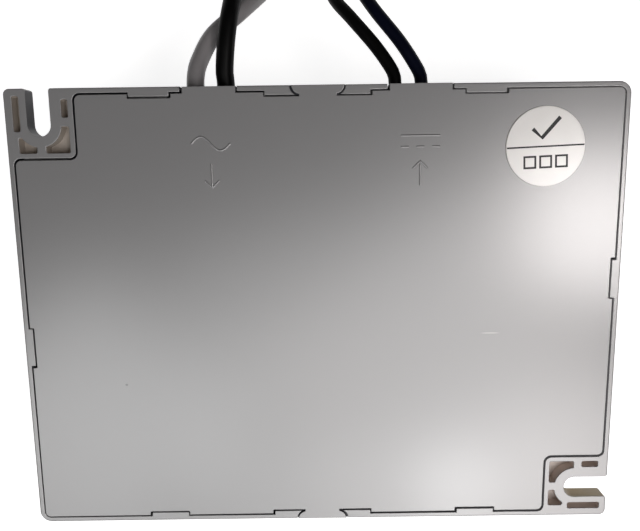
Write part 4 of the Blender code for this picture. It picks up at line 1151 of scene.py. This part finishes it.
def make_finish(name, colour, roughness, mottle, patch, grain, depth, metallic=0.0, specular=0.5, ior=1.5,
                uneven=0.1, stretch=(1.0, 1.0, 1.0), wave_size=0.0, wave_depth=0.0, specks=0.0, coat=0.0,
                subsurface=0.0):
    """Make a finish with patches of colour, uneven gloss and a grain that stands up as real relief.

    Patches and grains are counted per metre, and their depths are in micrometres. A wave adds the turns of a
    winding or a tape, and specks add fine dark points.
    """
    material = bpy.data.materials.new(name)
    tree = new_tree(material)
    shader = tree.nodes["Principled BSDF"]
    place = add_node(tree, "Mapping", {"Vector": own_place(tree), "Scale": stretch}).outputs["Vector"]
    patches = noise(tree, place, patch, PATCH_DETAIL)
    fine = noise(tree, place, grain, GRAIN_DETAIL)
    base = mix(tree, spread(tree, patches, 0.0, 1.0), shade(colour, 1 - mottle), shade(colour, 1 + mottle))
    base = mix(tree, spread(tree, fine, 0.0, mottle), base, shade(colour, GRAIN_SHADE))
    heights = [(patches, depth * MICRON * PATCH_RELIEF * uneven)]
    if wave_size:
        inputs = {"Vector": place, "Scale": wave_size, "Distortion": WAVE_DISTORTION}
        turns = add_node(tree, "TexWave", inputs, wave_type="BANDS", bands_direction="Z").outputs["Fac"]
        heights.append((turns, wave_depth * MICRON))
        base = mix(tree, spread(tree, turns, WAVE_SHARE, 0.0), base, shade(colour, WAVE_SHADE))
    if specks:
        dots = add_node(tree, "TexVoronoi", {"Vector": place, "Scale": patch * SPECKS_PER_PATCH})
        share = ramp(tree, dots.outputs["Distance"], specks, 0.0, *SPECK_RIM)
        base = mix(tree, share, base, shade(colour, SPECK_SHADE))
    heights.append((fine, depth * MICRON))
    feed(tree, shader, {
        "Base Color": base,
        "Roughness": spread(tree, patches, roughness * (1 - uneven), roughness * (1 + uneven)),
        "Metallic": metallic,
        "Specular IOR Level": specular,
        "IOR": ior,
        "Normal": bump(tree, heights),
    })
    if coat:
        feed(tree, shader, {"Coat Weight": coat, "Coat Roughness": COAT_ROUGHNESS})
    if subsurface:
        feed(tree, shader, {"Subsurface Weight": subsurface, "Subsurface Radius": NYLON_GLOW,
                            "Subsurface Scale": NYLON_GLOW_DEPTH})
    return material


def dress(piece, material):
    """Give a piece its finish."""
    piece.data.materials.clear()
    piece.data.materials.append(material)


# Finishes: colour, roughness, mottle, patches and grains per metre, depth in micrometres
SHINE = {"specular": 1.0, "ior": 1.8}
SOOT = {"specular": 0.10}
METAL = {"metallic": 1.0}
CASE_FINISH = make_finish("case_grain", (0.31, 0.308, 0.310), 0.267, 0.012, 40, 2600, 3.5,
                          uneven=0.01, **SHINE)
PLATE_FINISH = make_finish("plate_grain", (0.30, 0.298, 0.300), 0.26, 0.010, 25, 2600, 3.0,
                           uneven=0.008, **SHINE)
# Painted shade: near-black colour for the walls inside the seam
SEAM_PAINTED_SHADE = make_finish("seam_painted_shade", (0.016, 0.018, 0.026), 0.6, 0.2, 300, 2600, 4.0)
# Painted light and shade in the ears: darker pockets and near-black slot walls in the upper left ear, lighter
# and warmer ones in the lower right
POCKET_PAINTED_LIGHT_AND_SHADE = (
    make_finish("pocket_painted_shade", (0.44, 0.39, 0.34), 0.45, 0.05, 300, 2600, 4.0),
    make_finish("pocket_painted_light", (0.70, 0.62, 0.57), 0.45, 0.05, 300, 2600, 4.0),
)
SLOT_PAINTED_LIGHT_AND_SHADE = (
    make_finish("slot_painted_shade", (0.075, 0.076, 0.082), 0.5, 0.06, 300, 2600, 4.0),
    make_finish("slot_painted_light", (0.72, 0.61, 0.44), 0.5, 0.06, 300, 2600, 4.0),
)
PAPER_FINISH = make_finish("sticker_paper", (0.94, 0.915, 0.875), 0.266, 0.015, 300, 6000, 1.5,
                           specular=1.0, ior=1.9, uneven=0.02)
INK_FINISH = make_finish("printed_ink", (0.012, 0.011, 0.012), 0.40, 0.15, 900, 9000, 1.5)
WHITE_PVC = make_finish("white_pvc", (0.30, 0.288, 0.292), 0.38, 0.04, 220, 1800, 4.0)
BLACK_PVC = make_finish("black_pvc", (0.003, 0.003, 0.003), 0.45, 0.25, 220, 1800, 4.0, **SOOT)
BLUE_PVC = make_finish("blue_black_pvc", (0.003, 0.004, 0.013), 0.45, 0.25, 220, 1800, 4.0, **SOOT)
TINNED = make_finish("tinned_strand", (0.72, 0.71, 0.69), 0.24, 0.08, 1500, 7000, 1.5, **METAL)
NYLON = make_finish("tie_moulding", (0.82, 0.82, 0.79), 0.36, 0.03, 400, 3500, 3.0, subsurface=0.15)

INNER_FINISHES = (
    (make_finish("board_weave", (0.55, 0.50, 0.28), 0.42, 0.07, 260, 3200, 4, stretch=(1.0, 3.0, 1.0)),
     ["circuit_board"]),
    (make_finish("zinc_screw", (0.56, 0.56, 0.55), 0.32, 0.08, 700, 6000, 3, **METAL),
     ["board_screw_1", "board_screw_2"]),
    (make_finish("epoxy_moulding", (0.028, 0.028, 0.030), 0.48, 0.20, 400, 5000, 8),
     ["fuse", "bridge_rectifier", "mosfet", "output_diode", "optocoupler", "controller_ic"]),
    (make_finish("dipped_epoxy", (0.05, 0.12, 0.40), 0.30, 0.10, 350, 2500, 10, coat=0.4),
     ["varistor", "y_capacitor"]),
    (make_finish("film_case", (0.78, 0.60, 0.10), 0.34, 0.05, 300, 3500, 5), ["x_capacitor"]),
    (make_finish("sintered_ferrite", (0.075, 0.073, 0.072), 0.62, 0.14, 500, 4500, 12, specks=0.6),
     ["choke_core", "transformer_core_1", "transformer_core_2"]),
    (make_finish("wound_copper", (0.60, 0.25, 0.10), 0.26, 0.10, 500, 4000, 3, wave_size=280,
                 wave_depth=100, coat=0.5, **METAL),
     ["choke_winding_1", "choke_winding_2"]),
    (make_finish("shrunk_sleeve", (0.035, 0.036, 0.045), 0.28, 0.12, 180, 2200, 5, coat=0.3),
     ["bulk_capacitor_1", "bulk_capacitor_2", "output_capacitor_1", "output_capacitor_2", "output_inductor"]),
    (make_finish("rolled_aluminium", (0.74, 0.74, 0.75), 0.34, 0.05, 300, 4000, 3, stretch=(1.0, 1.0, 0.08),
                 **METAL),
     ["mosfet_heatsink", "diode_heatsink"]),
    (make_finish("bobbin_moulding", (0.09, 0.088, 0.085), 0.46, 0.10, 350, 3500, 6), ["transformer_bobbin"]),
    (make_finish("polyester_tape", (0.82, 0.66, 0.14), 0.24, 0.06, 400, 3000, 4, wave_size=90, wave_depth=40),
     ["transformer_winding"]),
)


def paint_ear_light_and_shade(case):
    """Give the ears' pockets and slot walls painted shade at the upper left, painted light at the lower
    right.
    """
    first = len(case.data.materials)
    for finish in (*POCKET_PAINTED_LIGHT_AND_SHADE, *SLOT_PAINTED_LIGHT_AND_SHADE):
        case.data.materials.append(finish)
    low = PLATE_TOP - POCKET_DEPTH - EDGE_RADIUS
    for face in case.data.polygons:
        spot = face.center
        if low < spot.z < PLATE_TOP - EDGE_RADIUS:
            places = ((spot.x + LENGTH / 2, WIDTH / 2 - spot.y), (spot.y + WIDTH / 2, LENGTH / 2 - spot.x))
            for ear, (x, y) in enumerate(places):
                in_slot = abs(x - SLOT_OFFSET) < SLOT_WIDTH / 2 + EDGE_RADIUS and y < SLOT_DEPTH + EDGE_RADIUS
                if OUTER_EDGE < x < NOTCH + GAP and OUTER_EDGE < y < NOTCH + GAP:
                    face.material_index = first + ear + len(POCKET_PAINTED_LIGHT_AND_SHADE) * in_slot


def base_colour(tree):
    """Give a finish's shader and what its colour comes from."""
    shader = tree.nodes["Principled BSDF"]
    return shader, shader.inputs["Base Color"].links[0].from_socket


def add_wear(material):
    """Add the plate's small dark speck and its faint light scratch."""
    tree = material.node_tree
    shader, base = base_colour(tree)
    place = own_place(tree)
    for middle, reach, colour in WEAR:
        inputs = {"Vector": place, "Location": (*middle, PLATE_TOP), "Scale": (*reach, reach[0])}
        mapping = add_node(tree, "Mapping", inputs, vector_type="TEXTURE")
        away = add_node(tree, "VectorMath", {0: mapping.outputs["Vector"]}, operation="LENGTH")
        base = mix(tree, ramp(tree, away.outputs["Value"], 1.0, 0.0, WEAR_CORE), base, colour)
    tree.links.new(base, shader.inputs["Base Color"])


def paint_seam_light(material):
    """Paint the seam lighter towards +X, a painted highlight at the end of the case that the lamps light."""
    tree = material.node_tree
    shader, base = base_colour(tree)
    parts = add_node(tree, "SeparateXYZ", {"Vector": own_place(tree)})
    painted_light_share = ramp(tree, parts.outputs["X"], 0.0, 1.0, 0.0, LENGTH / 2)
    tree.links.new(mix(tree, painted_light_share, base, SEAM_PAINTED_LIGHT), shader.inputs["Base Color"])


def paint_seam_shade(piece):
    """Paint the upright walls between the plate and the rim near-black, a painted shade where little light
    reaches.
    """
    piece.data.materials.append(SEAM_PAINTED_SHADE)
    index = len(piece.data.materials) - 1
    for face in piece.data.polygons:
        spot = face.center
        if not SEAT_Z - GAP < spot.z < PLATE_TOP - EDGE_RADIUS:
            continue
        inside = abs(spot.x) < LENGTH / 2 - RIM_WALL / 2 and abs(spot.y) < WIDTH / 2 - RIM_WALL / 2
        in_ear = abs(spot.x) > LENGTH / 2 - NOTCH - GAP / 2 and abs(spot.y) > WIDTH / 2 - NOTCH - GAP / 2
        at_tab = abs(spot.x) < TAB_HALF_WIDTH + GAP and abs(spot.y) < WIDTH / 2 - OUTER_EDGE
        if at_tab or (inside and not in_ear and abs(face.normal.z) < FLAT_NORMAL):
            face.material_index = index


def dress_all():
    """Give every piece and every node that still shows its finish."""
    dress(CASE, CASE_FINISH)
    paint_ear_light_and_shade(CASE)
    paint_seam_light(SEAM_PAINTED_SHADE)
    paint_seam_shade(CASE)
    dress(PLATE, PLATE_FINISH)
    add_wear(PLATE_FINISH)
    paint_seam_shade(PLATE)
    dress(MARKS, PLATE_FINISH)
    dress(LABEL, PAPER_FINISH)
    dress(PRINT, INK_FINISH)
    jackets = (WHITE_PVC, BLACK_PVC, BLACK_PVC, BLUE_PVC)
    slots = ("white_insulation", "black_insulation", "black_insulation", "blue_black_insulation")
    for (lead, tip), jacket, slot in zip(AC_LEADS[:2] + DC_LEADS[:2], jackets, slots):
        dress(lead, jacket)
        dress(tip, TINNED)
    for tie in (AC_LEADS[2], DC_LEADS[2]):
        dress(tie, NYLON)
    for material, nodes in INNER_FINISHES:
        for node in nodes:
            dress(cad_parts[node], material)


dress_all()


# Table and light

def make_floor():
    """Lay a plain pale table that shows white, with the shadow that falls on it."""
    builder = bmesh.new()
    bmesh.ops.create_grid(builder, x_segments=1, y_segments=1, size=FLOOR_SIZE / 2)
    bmesh.ops.translate(builder, verts=builder.verts, vec=(0, 0, -FLOOR_GAP))
    floor = link_mesh("table", builder)
    material = bpy.data.materials.new("pale_table")
    tree = new_tree(material)
    rays = add_node(tree, "LightPath", {}).outputs
    shown = add_node(tree, "Math", {0: rays["Is Camera Ray"], 1: rays["Is Glossy Ray"]}, operation="MAXIMUM")
    glow = add_node(tree, "Math", {0: shown.outputs[0], 1: FLOOR_GLOW}, operation="MULTIPLY")
    feed(tree, tree.nodes["Principled BSDF"], {
        "Base Color": FLOOR_COLOUR,
        "Roughness": FLOOR_ROUGHNESS,
        "Specular IOR Level": FLOOR_SPECULAR,
        "Emission Color": WHITE,
        "Emission Strength": glow.outputs[0],
    })
    dress(floor, material)


def add_lamp(name, place, size, radiance, tint):
    """Hang a square lamp, given in millimetres, that faces the middle of the plate."""
    data = bpy.data.lights.new(name, "AREA")
    data.shape = "SQUARE"
    data.size = size / 1000
    data.energy = radiance * math.pi * data.size ** 2
    data.color = tint
    lamp = place_object(name, data)
    lamp.location = Vector(place) / 1000
    aim = Vector((0, 0, PLATE_TOP)) - lamp.location
    lamp.rotation_euler = aim.to_track_quat("-Z", "Y").to_euler()


def make_light():
    """Light the driver softly and set a white surround."""
    for number, lamp in enumerate(LAMPS, 1):
        add_lamp(f"lamp_{number}", *lamp)
    world = bpy.data.worlds.new("surround")
    tree = new_tree(world)
    seen = add_node(tree, "LightPath", {}).outputs["Is Camera Ray"]
    feed(tree, tree.nodes["Background"], {"Color": WHITE, "Strength": ramp(tree, seen, WORLD_LIGHT, 1.0)})
    bpy.context.scene.world = world
    bpy.context.scene.view_settings.view_transform = "Standard"


make_floor()
make_light()
